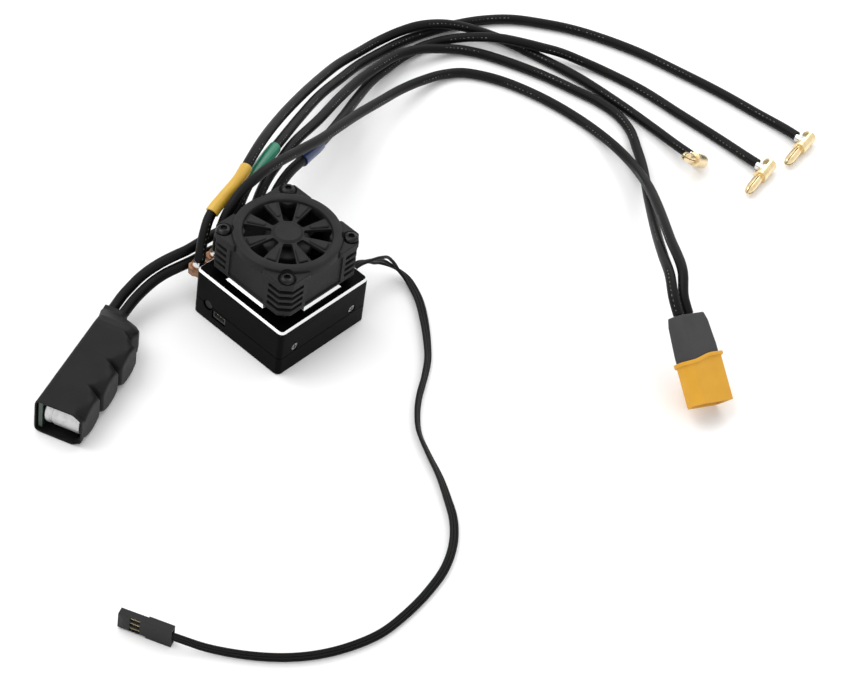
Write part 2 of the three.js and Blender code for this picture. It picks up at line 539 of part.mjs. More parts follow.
// ---------------------------------------------------------------- two-pole battery plug
const PLUG_NOSE = v3(73.8, -122.5, 5.6);
const PLUG_HEADING = THREE.MathUtils.degToRad(65);
const PLUG_TILT = THREE.MathUtils.degToRad(32);
const PLUG_ROLL = THREE.MathUtils.degToRad(-20);
const plugAxis = v3(-Math.cos(PLUG_HEADING) * Math.cos(PLUG_TILT),
  -Math.sin(PLUG_HEADING) * Math.cos(PLUG_TILT), -Math.sin(PLUG_TILT));
const plugLevel = v3(Math.sin(PLUG_HEADING), -Math.cos(PLUG_HEADING), 0);
const plugRise = plugAxis.clone().cross(plugLevel);
const plugWide = plugLevel.clone().multiplyScalar(Math.cos(PLUG_ROLL))
  .addScaledVector(plugRise, Math.sin(PLUG_ROLL));
const plugSeat = place(PLUG_NOSE, plugWide, plugAxis.clone().cross(plugWide).normalize());
const PLUG_BODY = 16;
const PLUG_CAP = 13.6;

/** The plug section: a rectangle with two corners of one short side bevelled. */
function plugShape(a, b, bevel) {
  return new THREE.Shape([[-a + bevel, -b], [a, -b], [a, b], [-a + bevel, b], [-a, b - bevel],
    [-a, -b + bevel]]
    .map(([x, y]) => new THREE.Vector2(x, y)));
}
function plugShell() {
  const flange = prism(plugShape(8.6, 4.6, 2.8), -PLUG_BODY, -PLUG_BODY + 1.4);
  const body = join(prism(plugShape(8, 4, 2.6), -PLUG_BODY, 0), flange);
  const mouth = prism(plugShape(6.9, 2.9, 2.1), -13, 1);
  const bores = [-3.6, 3.6].map((x) => rod(1.75 + GAP, -PLUG_BODY - 1, -12, x, 0, 16));
  return cut(body, mouth, ...bores);
}
piece('plug_shell', plugShell(), PLUG_YELLOW, plugSeat);
const CAP_FRONT = -PLUG_BODY - GAP;
function plugCap() {
  const skin = (inset, front, rear) => loft([
    ringOf(plugShape(6.1 - inset, 3.6 - inset, 2.2), rear),
    ringOf(plugShape(6.7 - inset, 3.9 - inset, 2.3), rear + 1),
    ringOf(plugShape(7.4 - inset, 4.0 - inset, 2.4), front),
  ]);
  const rear = CAP_FRONT - PLUG_CAP;
  return cut(skin(0, CAP_FRONT, rear), skin(1, CAP_FRONT + 1, rear + 4),
    ...[-2.3, 2.3].map((x) => rod(1.2, rear - 1, rear + 6, x, 0, 12)));
}
piece('plug_cap', plugCap(), PLUG_GREY, plugSeat);
[[-3.6, 'plus'], [3.6, 'minus']].forEach(([x, name]) => {
  const pin = turned([[0, -24], [1.7, -24], [1.7, -3.2], [1.1, -2], [0, -1.8]], 16);
  const cup = rod(1.2, -25, -19, 0, 0, 12);
  piece(`plug_pin_${name}`, cut(pin, cup).translate(x, 0, 0), GOLD, plugSeat);
});

// ---------------------------------------------------------------- capacitor pack
const packAlong = v3(-0.9355, -0.353, 0);
const packAcross = v3(0.353, -0.9355, 0);
const packSeat = place(v3(-56.1, 27.9, 0), packAlong, packAcross);
// In the pack's own frame X runs to the open end, Y from the board side to the can ends, and Z points up.
const CAN_R = 6.25;
const PACK_H = 14;
const PACK_W = 16.6;
const PACK_END = 40.4;
function packSection(x, y0, y1, z0, z1, r) {
  return ringOf(roundedShape((y1 - y0) / 2, (z1 - z0) / 2, r), 0, 3)
    .map((p) => v3(x, (y0 + y1) / 2 + p.x, (z0 + z1) / 2 + p.y));
}
function capSleeve() {
  const skin = (t, from, to) => loft([
    packSection(from, -1.9 + t, 6.2 - t, 4.8 + t, 9.2 - t, 1.6 - t),
    packSection(-7, -1.6 + t, 8 - t, 3.6 + t, 10.4 - t, 2.2 - t),
    packSection(-2.5, 0 + t, 13.2 - t, 0.8 + t, 13.4 - t, 2.4 - t),
    packSection(1.5, 0 + t, PACK_W - t, 0.1 + t, PACK_H - t, 1.6 - t),
    packSection(to, 0 + t, PACK_W - t, 0.1 + t, PACK_H - t, 1.6 - t),
  ]);
  return cut(skin(0, -11, PACK_END), skin(0.55, -12, PACK_END + 1));
}
piece('capacitor_sleeve', capSleeve(), SHRINK_BLACK, packSeat);
piece('capacitor_board', box(0.5, 0.95, 1.5, 39.4, 2.3, 12.6), CIRCUIT, packSeat);
[0, 1, 2].forEach((k) => {
  const can = turned([[0, 0], [5.9, 0], [CAN_R, 0.5], [CAN_R, 1.8], [5.7, 2.2], [5.7, 2.7],
    [CAN_R, 3.1], [CAN_R, 12.3],
    [5.9, 12.7], [0, 12.7]], 16);
  piece(`capacitor_${k + 1}`, alongY(can).translate(8.1 + k * 12.6, 2.8, PACK_H / 2 + 0.05), CAN, packSeat);
});
const CAP_ROUTES = {
  plus: [[9.6, 27.7, 15.2], [6, 28.4, 15.8], [2, 28.9, 16], [-2, 29.3, 16], [-6, 29.6, 15.9],
    [-10, 29.9, 15.6],
    [-14, 30.3, 15.2], [-18, 31.5, 14.4], [-22.5, 33, 13], [-27, 34, 11.5], [-31, 34.3, 10.2], [-35, 34, 9],
    [-39, 33.4, 8], [-42.5, 32.4, 7.3], [-45.6, 31.3, 7]],
  minus: [[-4.2, 27.4, 11.4], [-7, 27.5, 11.7], [-10, 27.7, 11.8], [-13, 27.9, 11.8], [-16, 28.4, 11.6],
    [-19.5, 29.4, 11], [-22.5, 30.2, 10.4], [-25.5, 30.6, 9.9], [-28.5, 30.7, 9.4], [-31.5, 30.5, 8.9],
    [-34, 30.2, 8.5], [-37, 29.7, 8], [-39.5, 29.1, 7.6], [-42, 28.4, 7.2], [-44.6, 27.6, 7]],
};
for (const [name, route] of Object.entries(CAP_ROUTES)) {
  piece(`capacitor_wire_${name}`, tube(route, WIRE, WIRE, 8), SILICONE);
}

// ---------------------------------------------------------------- receiver lead
piece('lead_grommet', alongX(prism(roundedShape(1.5, 3.2, 1.2), CASE_X / 2 - 2.4, CASE_X / 2 + 1.6))
  .translate(0, -10.2, 15.3), RUBBER);
const LEAD = [[21.9, -10.2, 15.3], [25, -10.5, 15.5], [29, -11, 14.5], [33.5, -11, 12],
  [37.5, -11, 8.8], [41, -13, 5], [42.5, -17, 2.6], [41.5, -21, 1.9], [38.5, -27, 1.9], [33, -34.5, 2],
  [27, -41.5, 2], [21, -47.5, 2], [14, -52.5, 2], [7, -57, 2], [1.5, -61.5, 1.9], [-3.5, -67, 1.8],
  [-8, -75.5, 1.7], [-12, -84, 1.7], [-16.5, -91.5, 1.8], [-22, -99.5, 1.9], [-29, -106, 2],
  [-38, -111, 2], [-49, -114, 2], [-60.5, -115.5, 2], [-71, -115.5, 2], [-81, -113, 2],
  [-90, -109, 2], [-98, -103.5, 2], [-106, -95.5, 2], [-113.5, -85.5, 2.3], [-118.7, -77.3, 3.8]];
// The lead lies partly on its edge: how far it leans, in degrees, at fractions of its length.
const LEAD_LEAN = [[0, 0], [0.18, 20], [0.3, 65], [0.4, 60], [0.52, 25], [0.68, 60], [0.8, 75], [1, 90]];
function leanAt(fraction) {
  const k = Math.min(LEAD_LEAN.findLastIndex(([f]) => f <= fraction), LEAD_LEAN.length - 2);
  const [[f0, lean0], [f1, lean1]] = LEAD_LEAN.slice(k, k + 2);
  return THREE.MathUtils.degToRad(lean0 + ((lean1 - lean0) * (fraction - f0)) / (f1 - f0));
}
/** The flat three-core lead: a rounded strip along the route that leans as the list above says. */
function ribbon(points, width, thick, steps = 60) {
  const curve = new THREE.CatmullRomCurve3(points.map(([x, y, z]) => v3(x, y, z)));
  const section = [[-0.5, -0.28], [-0.36, -0.5], [0.36, -0.5], [0.5, -0.28], [0.5, 0.28], [0.36, 0.5],
    [-0.36, 0.5],
    [-0.5, 0.28]];
  const rings = [];
  for (let k = 0; k <= steps; k += 1) {
    const centre = curve.getPointAt(k / steps);
    const along = curve.getTangentAt(k / steps);
    const lean = leanAt(k / steps);
    const side = along.clone().cross(v3(0, 0, 1)).normalize().applyAxisAngle(along, lean);
    const up = side.clone().cross(along);
    rings.push(section.map(([a, b]) => centre.clone()
      .addScaledVector(side, a * width).addScaledVector(up, -b * thick)));
  }
  return loft(rings);
}
piece('receiver_lead', ribbon(LEAD, LEAD_WIDTH, LEAD_THICK), SILICONE);

const SERVO_WIDE = 7.4;
const SERVO_THICK = 2.6;
const SERVO_LONG = 17.2;
// The plug stands on its narrow edge, with its windows to the outside.
const servoAlong = v3(-0.396, 0.918, 0);
const servoSeat = place(v3(-119.1, -76.5, SERVO_WIDE / 2 + 0.1), servoAlong, v3(0, 0, 1));
function servoPlug() {
  const a = SERVO_WIDE / 2;
  const t = SERVO_THICK / 2;
  const body = join(box(0, -a, -t, 8.2, a, t), box(8, -a + 0.6, -t, SERVO_LONG, a - 0.6, t));
  const tools = [-2.2, 0, 2.2].flatMap((y) => [
    box(SERVO_LONG - 6, y - 0.6, -0.6, SERVO_LONG + 1, y + 0.6, 0.6),
    box(10.2, y - 0.75, -t - 1, 13.4, y + 0.75, 0.2),
    box(2, y - 0.5, -0.5, 11, y + 0.5, 0.5),
  ]);
  return cut(body, ...tools);
}
piece('receiver_plug', servoPlug(), DARK_PLASTIC, servoSeat);

export default part;
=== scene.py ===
# %% [markdown]
# # A small speed controller, dressed for its picture
# The solids of the controller arrive finished, in metres, with +Z up and the origin under the middle of the
# case. This script leaves them where they are and puts fine surfaces and finishes round them. Sizes are
# written in millimetres, as on a drawing, and MM turns them into Blender's metres.

# %% Load the frame
import math

import bmesh
import bpy
import numpy as np
from mathutils import Matrix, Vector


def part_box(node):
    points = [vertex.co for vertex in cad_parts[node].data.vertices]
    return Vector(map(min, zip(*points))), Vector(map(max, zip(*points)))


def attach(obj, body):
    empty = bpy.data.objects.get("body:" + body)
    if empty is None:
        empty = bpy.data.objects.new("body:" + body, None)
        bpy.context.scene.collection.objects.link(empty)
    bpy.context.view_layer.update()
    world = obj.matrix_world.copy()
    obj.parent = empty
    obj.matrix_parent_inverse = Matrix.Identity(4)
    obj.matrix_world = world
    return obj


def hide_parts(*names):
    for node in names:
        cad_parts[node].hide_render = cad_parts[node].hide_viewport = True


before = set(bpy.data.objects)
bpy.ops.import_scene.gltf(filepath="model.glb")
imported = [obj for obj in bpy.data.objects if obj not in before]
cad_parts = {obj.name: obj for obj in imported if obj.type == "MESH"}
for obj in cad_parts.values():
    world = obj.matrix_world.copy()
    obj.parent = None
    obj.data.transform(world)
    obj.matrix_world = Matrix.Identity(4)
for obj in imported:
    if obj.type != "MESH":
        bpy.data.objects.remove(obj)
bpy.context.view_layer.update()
MM = 0.001


def corners(node):
    """The lowest and highest corner of a solid, in millimetres."""
    low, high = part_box(node)
    return np.array(low) / MM, np.array(high) / MM


CASE_HIGH = corners("upper_case")[1]
CASE_X, CASE_Y = CASE_HIGH[0], corners("lower_case")[1][1]
SEAM = corners("upper_case")[0][2]
PLINTH_TOP = CASE_HIGH[2]
FAN_LOW, FAN_HIGH = corners("fan_frame")
print("case half sizes", CASE_X, CASE_Y, "seam", SEAM, "plinth", PLINTH_TOP)

# %% [markdown]
# ## Looking from above, with a long lens
# A product picture of something this small is taken from far off with a long lens, so its edges stay almost
# parallel. The camera stands towards the case's nearest corner, looks down at about 46 degrees, and is
# rolled a little. It aims beside the case, because the wires reach much further to the right than to the
# left.

# %% Camera
AZIMUTH, ELEVATION, ROLL = -53.1, 45.9, 9.3
DISTANCE = 983.0
LENS = 127.06
AIM_RIGHT, AIM_UP = 47.94, -8.55


def camera_axes(azimuth, elevation, roll):
    """Right, up and backwards for a camera that is turned, raised and rolled by angles in degrees."""
    a, e, r = np.radians([azimuth, elevation, roll])
    back = np.array([np.sin(a) * np.cos(e), -np.cos(a) * np.cos(e), np.sin(e)])
    level = np.array([np.cos(a), np.sin(a), 0.0])
    rise = np.cross(back, level)
    return np.cos(r) * level + np.sin(r) * rise, np.cos(r) * rise - np.sin(r) * level, back


right, up, back = camera_axes(AZIMUTH, ELEVATION, ROLL)
stand = (right * AIM_RIGHT + up * AIM_UP + back * DISTANCE) * MM
lens_data = bpy.data.cameras.new("camera")
lens_data.lens = LENS
lens_data.sensor_width = 36.0
camera = bpy.data.objects.new("camera", lens_data)
turn_and_place = np.column_stack([right, up, back, stand])
camera.matrix_world = Matrix([*turn_and_place.tolist(), [0, 0, 0, 1]])
bpy.context.scene.collection.objects.link(camera)
bpy.context.scene.camera = camera
print("camera at", np.round(stand, 3))

# %% [markdown]
# ## A finish is a sentence of shader maths
# Every finish starts from Blender's Principled shader. One small class wraps a number socket, so masks can
# be written as sums and products, and one method makes any other node from its settings and inputs.
# Patterns read object coordinates, which are metres here, so a scale of 1000 gives features about a
# millimetre wide.

# %% Shader helpers
class Number:
    """A number socket that can be added, subtracted, multiplied, divided and compared."""

    def __init__(self, finish, socket):
        self.finish, self.socket = finish, socket

    def maths(self, operation, *values):
        return self.finish.node("ShaderNodeMath", {"operation": operation}, *values).number()

    def __add__(self, other):
        return self.maths("ADD", self, other)

    def __sub__(self, other):
        return self.maths("SUBTRACT", self, other)

    def __rsub__(self, other):
        return self.maths("SUBTRACT", other, self)

    def __mul__(self, other):
        return self.maths("MULTIPLY", self, other)

    def __gt__(self, other):
        return self.maths("GREATER_THAN", self, other)

    def __lt__(self, other):
        return self.maths("LESS_THAN", self, other)

    __radd__ = __add__
    __rmul__ = __mul__

    def between(self, low, high):
        """Rises smoothly from 0 at low to 1 at high."""
        settings = {"interpolation_type": "SMOOTHSTEP"}
        return self.finish.node("ShaderNodeMapRange", settings, self, low, high, 0.0, 1.0).number()

    def fraction(self):
        return self.maths("FRACT", self)


class Node:
    """A made node, whose outputs are asked for by what they carry."""

    def __init__(self, finish, node):
        self.finish, self.node = finish, node

    def number(self, output=0):
        return Number(self.finish, self.node.outputs[output])

    def link(self, output=0):
        return self.node.outputs[output]


class Finish:
    """A material with a Principled shader. Plain keyword values are set on its sockets."""

    def __init__(self, name, **values):
        self.material = bpy.data.materials.new(name)
        self.material.use_nodes = True
        self.tree = self.material.node_tree
        self.shader = self.tree.nodes["Principled BSDF"]
        for key, value in values.items():
            self.set(key.replace("_", " ").title().replace("Ior", "IOR"), value)

    def set(self, socket, value):
        """Set or link one socket of the Principled shader."""
        self.feed(self.shader.inputs[socket], value)
        return self

    def feed(self, socket, value):
        if isinstance(value, Number):
            value = value.socket
        if isinstance(value, bpy.types.NodeSocket):
            self.tree.links.new(value, socket)
        elif isinstance(value, tuple) and len(value) == 3 and socket.type == "RGBA":
            socket.default_value = (*value, 1.0)
        else:
            socket.default_value = value

    def node(self, kind, settings=None, *inputs, **named):
        """Any node: its settings first, then its inputs in order or by name. None skips one."""
        made = self.tree.nodes.new(kind)
        for key, value in (settings or {}).items():
            setattr(made, key, value)
        for socket, value in zip(made.inputs, inputs):
            if value is not None:
                self.feed(socket, value)
        for key, value in named.items():
            self.feed(made.inputs[key.replace("_", " ").title()], value)
        return Node(self, made)

    def place(self):
        return self.node("ShaderNodeTexCoord").link("Object")

    def split(self, vector):
        """X, Y and Z of a vector as numbers."""
        parts = self.node("ShaderNodeSeparateXYZ", None, vector)
        return [parts.number(i) for i in range(3)]

    def stretched(self, scale):
        """Object coordinates squeezed by a factor along each axis, for grain that runs one way."""
        return self.node("ShaderNodeMapping", None, self.place(), Scale=scale).link()

    def noise(self, scale, detail=3.0, vector=None, roughness=0.5):
        """Fractal noise from 0 to 1, with about scale features to the metre."""
        vector = vector or self.place()
        return self.node("ShaderNodeTexNoise", None, Vector=vector, Scale=scale, Detail=detail,
                         Roughness=roughness).number()

    def mix(self, factor, first, second):
        """A colour between two colours."""
        made = self.node("ShaderNodeMix", {"data_type": "RGBA"})
        for key, value in (("Factor_Float", factor), ("A_Color", first), ("B_Color", second)):
            self.feed(next(s for s in made.node.inputs if s.identifier == key), value)
        return next(s for s in made.node.outputs if s.identifier == "Result_Color")

    def bump(self, height, depth, strength=1.0):
        """Shade the surface as if it rose by height times depth, in millimetres."""
        bumped = self.node("ShaderNodeBump", None, Strength=strength, Distance=depth * MM, Height=height)
        return self.set("Normal", bumped.link())


# %% [markdown]
# ## Finishes of the cords
# Silicone insulation is black with a soft, slightly dusty sheen. It carries a row of print every few
# centimetres on the real thing, which becomes a row of plain ticks here. Heat-shrink is glossier, and thin
# enough to show the unevenness of what it grips.

# %% Silicone and heat-shrink
def silicone(name, printed):
    """Black silicone rubber. U runs along the wire in metres and V once round it."""
    finish = Finish(name, ior=1.42, specular_ior_level=0.2)
    fine = finish.noise(1400, 4)
    broad = finish.noise(90, 2)
    colour = finish.mix(broad.between(0.35, 0.7), (0.0018, 0.0017, 0.0017), (0.0034, 0.0032, 0.0031))
    if printed:
        along, around, _ = finish.split(finish.node("ShaderNodeUVMap", {"uv_map": "wire"}).link())
        group = ((along * 28).fraction() < 0.42) * ((along * 640).fraction() < 0.42)
        band = (around > 0.235) * (around < 0.262)
        faded = finish.noise(2600, 2).between(0.42, 0.6)
        colour = finish.mix(group * band * faded * 0.55, colour, (0.33, 0.33, 0.32))
    finish.set("Base Color", colour)
    finish.set("Roughness", 0.36 + broad * 0.14 + fine * 0.06)
    finish.bump(fine, 0.03, 0.5)
    return finish.material


def heat_shrink(name, colour, shade, roughness):
    """Coloured heat-shrink, a little darker where it is stretched."""
    finish = Finish(name, ior=1.5, coat_roughness=0.2)
    patches = finish.noise(160, 3)
    finish.set("Base Color", finish.mix(patches.between(0.35, 0.75), colour, shade))
    finish.set("Roughness", roughness + patches * 0.12)
    finish.set("Coat Weight", patches * 0.3)
    finish.bump(finish.noise(420, 3), 0.08, 0.35)
    return finish.material


SILICONE = silicone("black_silicone", True)
LEAD_JACKET = silicone("lead_jacket", False)
SHRINK = {
    "yellow": heat_shrink("yellow_shrink", (0.58, 0.35, 0.03), (0.50, 0.29, 0.022), 0.28),
    "green": heat_shrink("green_shrink", (0.006, 0.19, 0.105), (0.005, 0.15, 0.082), 0.28),
    "blue": heat_shrink("blue_shrink", (0.011, 0.029, 0.12), (0.008, 0.022, 0.09), 0.3),
}
print("cord finishes:", SILICONE.name, LEAD_JACKET.name, *(m.name for m in SHRINK.values()))

# %% [markdown]
# ## One way to make a surface
# Nearly every piece is a grid of points: rows run along or up the piece and columns run round it. The grid
# is worked out as one array and becomes quads in one step. A closed piece gets its normals recalculated, so
# that its faces point outwards whichever way the rows were given.

# %% Surface helpers
SHARP = 34.0


def mesh_object(name, points, faces, *finishes):
    """A mesh object at the origin, from points in millimetres."""
    mesh = bpy.data.meshes.new(name)
    mesh.from_pydata((np.asarray(points, float).reshape(-1, 3) * MM).tolist(), [], faces)
    mesh.shade_smooth()
    for finish in finishes:
        mesh.materials.append(finish)
    made = bpy.data.objects.new(name, mesh)
    bpy.context.scene.collection.objects.link(made)
    return made


def cleaned(made, merge=1e-4):
    """Join doubled points, drop faces without area and point every face outwards."""
    work = bmesh.new()
    work.from_mesh(made.data)
    bmesh.ops.remove_doubles(work, verts=work.verts, dist=merge * MM)
    bmesh.ops.dissolve_degenerate(work, edges=work.edges, dist=merge * MM)
    bmesh.ops.recalc_face_normals(work, faces=work.faces)
    work.to_mesh(made.data)
    work.free()
    made.data.set_sharp_from_angle(angle=math.radians(SHARP))
    return made


def grid(name, points, *finishes, ring=False, caps=True, wire_uv=None):
    """Quads over rows x columns x 3 points, whose columns close on themselves. With ring the rows close too,
    and otherwise caps shut both ends. wire_uv gives a U for each row, and V runs once round the columns."""
    rows, columns = points.shape[:2]
    index = np.arange(rows * columns).reshape(rows, columns)
    wrapped = np.concatenate([index, index[:, :1]], 1)
    if ring:
        wrapped = np.concatenate([wrapped, wrapped[:1]], 0)
    quads = np.stack([wrapped[:-1, :-1], wrapped[:-1, 1:], wrapped[1:, 1:], wrapped[1:, :-1]], -1)
    faces = quads.reshape(-1, 4).tolist()
    if caps and not ring:
        faces += [index[0].tolist(), index[-1].tolist()]
    made = mesh_object(name, points, faces, *finishes)
    if wire_uv is not None:
        here, ahead = wire_uv[:-1], wire_uv[1:]
        u = np.repeat(np.stack([here, here, ahead, ahead], -1)[:, None], columns, 1)
        v = np.arange(columns)[:, None] + np.array([0, 1, 1, 0])
        v = np.repeat((v / columns)[None], rows - 1, 0)
        values = np.zeros((len(made.data.loops), 2))
        values[:u.size] = np.stack([u, v], -1).reshape(-1, 2)
        made.data.uv_layers.new(name="wire").data.foreach_set("uv", values.ravel())
    return cleaned(made)


def soften(made, width, segments=2, angle=30.0):
    """Round every edge sharper than the angle, in degrees, by a width in millimetres."""
    bevel = made.modifiers.new("soft_edges", "BEVEL")
    bevel.width, bevel.segments = width * MM, segments
    bevel.limit_method, bevel.angle_limit = "ANGLE", math.radians(angle)
    bevel.harden_normals = True
    return made


def outward(points):
    """Unit vectors along the last axis."""
    return points / np.linalg.norm(points, axis=-1, keepdims=True)


def settled(made, node, slot, body="case"):
    """Ride a body and stand for a solid. The slot is not used."""
    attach(made, body)
    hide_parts(node)
    return made


# %% [markdown]
# ## Where the cords run
# The wires are soft and keep the bends they were given. Each route is a list of points that the middle of
# the wire passes through, and a centripetal Catmull-Rom curve joins them: it goes through every point and
# never loops between two that are close together. Where one wire crosses another it lies on top of it.

# %% Routes
ROUTES = {
    "motor_a": [
        [-15.6, 22.6, 17.6], [-15.2, 22.8, 21.5], [-12.8, 24.3, 26], [-8, 26.8, 29.8], [-1, 28.2, 32.4],
        [7, 29.5, 34.5],
        [15, 33, 35.5], [27, 39, 33.5], [44, 47.5, 27.5], [62, 55.5, 21], [80, 63, 14], [96, 68.5, 8.5],
        [110, 71, 5], [120, 71.5, 4], [129, 69.5, 5], [136, 66.5, 6], [143, 62, 6], [149, 56.5, 5],
        [154, 51, 3.2], [158, 44, 2], [161, 31, 1.9], [164, 14, 1.9], [165, -5, 1.9], [164.5, -22, 2.2],
        [163, -34, 3.4], [162, -41, 4.5]
    ],
    "motor_b": [
        [0, 22.6, 17.6], [0, 23, 22], [2, 24.5, 26], [7, 27, 29.5], [15, 30.5, 31], [24, 34, 30.5],
        [36, 39, 28], [55, 48, 21.5], [73, 56, 15.2], [90, 62, 9.2], [105, 66.5, 4.6], [117, 68, 2.2],
        [128, 67.5, 1.9], [140, 65, 1.9], [152, 61, 1.9], [161, 56.5, 1.9], [169, 50.5, 1.9], [176, 42, 1.9],
        [182, 33, 1.9], [187, 22.5, 1.9], [192, 8, 1.9], [195.5, -8.5, 1.9], [198.5, -25, 1.9],
        [200.5, -42, 1.9],
        [201.5, -53, 2.3], [201.5, -58.5, 2.6]
    ],
    "motor_c": [
        [15.6, 22.6, 17.6], [16, 22.8, 20.5], [17.8, 23.6, 23.6], [21.5, 24.8, 26],
        [28, 26.7, 27.2], [38, 29.5, 25.6],
        [47, 32.5, 23.2], [58, 37, 19.6], [72, 43.5, 14.8], [87, 51, 9.2], [102, 57.5, 4.6], [114, 60.5, 2.4],
        [123, 61.5, 1.9], [131.5, 61, 1.9], [139, 58.5, 2.4], [144, 54, 4.2], [149, 48.5, 5.6],
        [154, 42.5, 6.2],
        [158, 37, 6], [162, 31, 5.6], [166.5, 25, 4.6], [170.5, 18.5, 3], [174, 10, 1.9], [177, -5.5, 1.9],
        [178, -23, 1.9], [179, -41, 1.9], [179, -52.5, 2.3], [179, -58.5, 2.6]
    ],
    "battery_plus": [
        [7.8, 22.6, 17.6], [8.2, 22.8, 20.5], [10, 24, 23.8], [14.5, 26.4, 26.2],
        [21, 29.5, 26.9], [30, 33.2, 26.2],
        [41, 37.5, 25], [60, 44, 20], [78, 51, 15], [93, 56, 11], [107, 59, 8], [118.5, 60, 6.3],
        [127, 58, 5.4], [134.5, 55, 3.6], [141, 51, 2.3], [145.5, 45.5, 1.9], [149, 38.5, 1.9],
        [152, 31, 1.9],
        [155, 22, 1.9], [157.5, 12, 1.9], [160, 0, 1.9], [160, -9, 1.9], [157.5, -17, 1.9], [151, -25.8, 3],
        [143, -35, 5.2], [129.3, -48.8, 8.6], [110, -67, 17.5], [99, -78, 23], [90.6, -87.2, 26.6],
        [84.8, -94, 25.3], [82.6, -98.6, 22.3]
    ],
    "battery_minus": [
        [-7.8, 22.6, 17.6], [-7.5, 22.5, 22.5], [-6.5, 22.5, 28], [-3, 23, 33],
        [3, 24, 36.2], [12, 25, 37.3],
        [22, 26.5, 35.8], [34, 28.5, 32.3], [47, 31, 28], [61, 35, 23], [75, 39, 17.8], [90, 42.5, 12.5],
        [104, 45.5, 7.8], [116, 46.5, 4.4], [126, 45.5, 2.4], [133, 42, 1.9], [138, 35.5, 1.9],
        [141.5, 28.5, 1.9],
        [144.5, 19, 1.9], [146.5, 9, 1.9], [147.5, -2, 1.9], [147, -12, 2.4], [144, -22.5, 4.6],
        [140, -32.5, 6.8], [129.2, -47.4, 14], [118.5, -60, 19.6], [106, -74.5, 24.5], [95.2, -88.6, 27],
        [89, -95, 24], [86.8, -99.6, 20.9]
    ],
    "capacitor_plus": [
        [9.6, 27.7, 15.2], [6, 28.4, 15.8], [2, 28.9, 16], [-2, 29.3, 16], [-6, 29.6, 15.9],
        [-10, 29.9, 15.6],
        [-14, 30.3, 15.2], [-18, 31.5, 14.4], [-22.5, 33, 13], [-27, 34, 11.5], [-31, 34.3, 10.2],
        [-35, 34, 9],
        [-39, 33.4, 8], [-42.5, 32.4, 7.3], [-45.6, 31.3, 7]
    ],
    "capacitor_minus": [
        [-4.2, 27.4, 11.4], [-7, 27.5, 11.7], [-10, 27.7, 11.8], [-13, 27.9, 11.8], [-16, 28.4, 11.6],
        [-19.5, 29.4, 11], [-22.5, 30.2, 10.4], [-25.5, 30.6, 9.9], [-28.5, 30.7, 9.4], [-31.5, 30.5, 8.9],
        [-34, 30.2, 8.5], [-37, 29.7, 8], [-39.5, 29.1, 7.6], [-42, 28.4, 7.2], [-44.6, 27.6, 7]
    ],
    "receiver_lead": [
        [21.9, -10.2, 15.3], [25, -10.5, 15.5], [29, -11, 14.5], [33.5, -11, 12],
        [37.5, -11, 8.8], [41, -13, 5], [42.5, -17, 2.6], [41.5, -21, 1.9], [38.5, -27, 1.9], [33, -34.5, 2],
        [27, -41.5, 2], [21, -47.5, 2], [14, -52.5, 2], [7, -57, 2], [1.5, -61.5, 1.9], [-3.5, -67, 1.8],
        [-8, -75.5, 1.7], [-12, -84, 1.7], [-16.5, -91.5, 1.8], [-22, -99.5, 1.9], [-29, -106, 2],
        [-38, -111, 2], [-49, -114, 2], [-60.5, -115.5, 2], [-71, -115.5, 2], [-81, -113, 2],
        [-90, -109, 2], [-98, -103.5, 2], [-106, -95.5, 2], [-113.5, -85.5, 2.3], [-118.7, -77.3, 3.8]
    ],
}


def smooth_route(points, step):
    """A centripetal Catmull-Rom curve: between two points it is a cubic whose ends take the slope of the
    neighbours, with knots spaced by the square root of the distance. Then it is cut into even steps."""
    p = np.asarray(points, float)
    p = np.concatenate([[2 * p[0] - p[1]], p, [2 * p[-1] - p[-2]]])
    knots = np.sqrt(np.linalg.norm(np.diff(p, axis=0), axis=1))[:, None]
    k0, k1, k2 = knots[:-2], knots[1:-1], knots[2:]
    p0, p1, p2, p3 = p[:-3], p[1:-2], p[2:-1], p[3:]
    leave = ((p1 - p0) / k0 - (p2 - p0) / (k0 + k1) + (p2 - p1) / k1) * k1
    arrive = ((p2 - p1) / k1 - (p3 - p1) / (k1 + k2) + (p3 - p2) / k2) * k1
    t = np.linspace(0, 1, 30, endpoint=False)[:, None, None]
    curve = ((2 * t**3 - 3 * t**2 + 1) * p1 + (t**3 - 2 * t**2 + t) * leave
             + (3 * t**2 - 2 * t**3) * p2 + (t**3 - t**2) * arrive)
    curve = np.concatenate([curve.transpose(1, 0, 2).reshape(-1, 3), p[-2:-1]])
    run = np.concatenate([[0], np.cumsum(np.linalg.norm(np.diff(curve, axis=0), axis=1))])
    even = np.linspace(0, run[-1], int(run[-1] / step) + 1)
    return np.stack([np.interp(even, run, curve[:, axis]) for axis in range(3)], 1), even


def travelling_frame(path):
    """Two directions across a path that never spin round it: each step's pair is the last one, less what
    points along the new tangent."""
    along = outward(np.gradient(path, axis=0))
    side = np.empty_like(path)
    side[0] = outward(np.cross(along[0], [0.3, 1.0, 0.1]))
    for k in range(1, len(path)):
        side[k] = outward(side[k - 1] - along[k] * (side[k - 1] @ along[k]))
    return along, side, np.cross(along, side)


def tube(name, path, radius, finish, sides=24, wire_uv=None):
    """A round tube: circles of the given radius, one number or one for each point, across the path."""
    _, side, rise = travelling_frame(path)
    turn = np.linspace(0, 2 * np.pi, sides, endpoint=False)[None, :, None]
    across = side[:, None] * np.cos(turn) + rise[:, None] * np.sin(turn)
    radius = np.broadcast_to(radius, len(path))[:, None, None]
    return grid(name, path[:, None] + across * radius, finish, wire_uv=wire_uv)


PATHS = {name: smooth_route(points, 0.9) for name, points in ROUTES.items()}
for name, (path, run) in PATHS.items():
    print(f"{name}: {run[-1]:.1f} mm long, lowest centre {path[:, 2].min():.2f}")

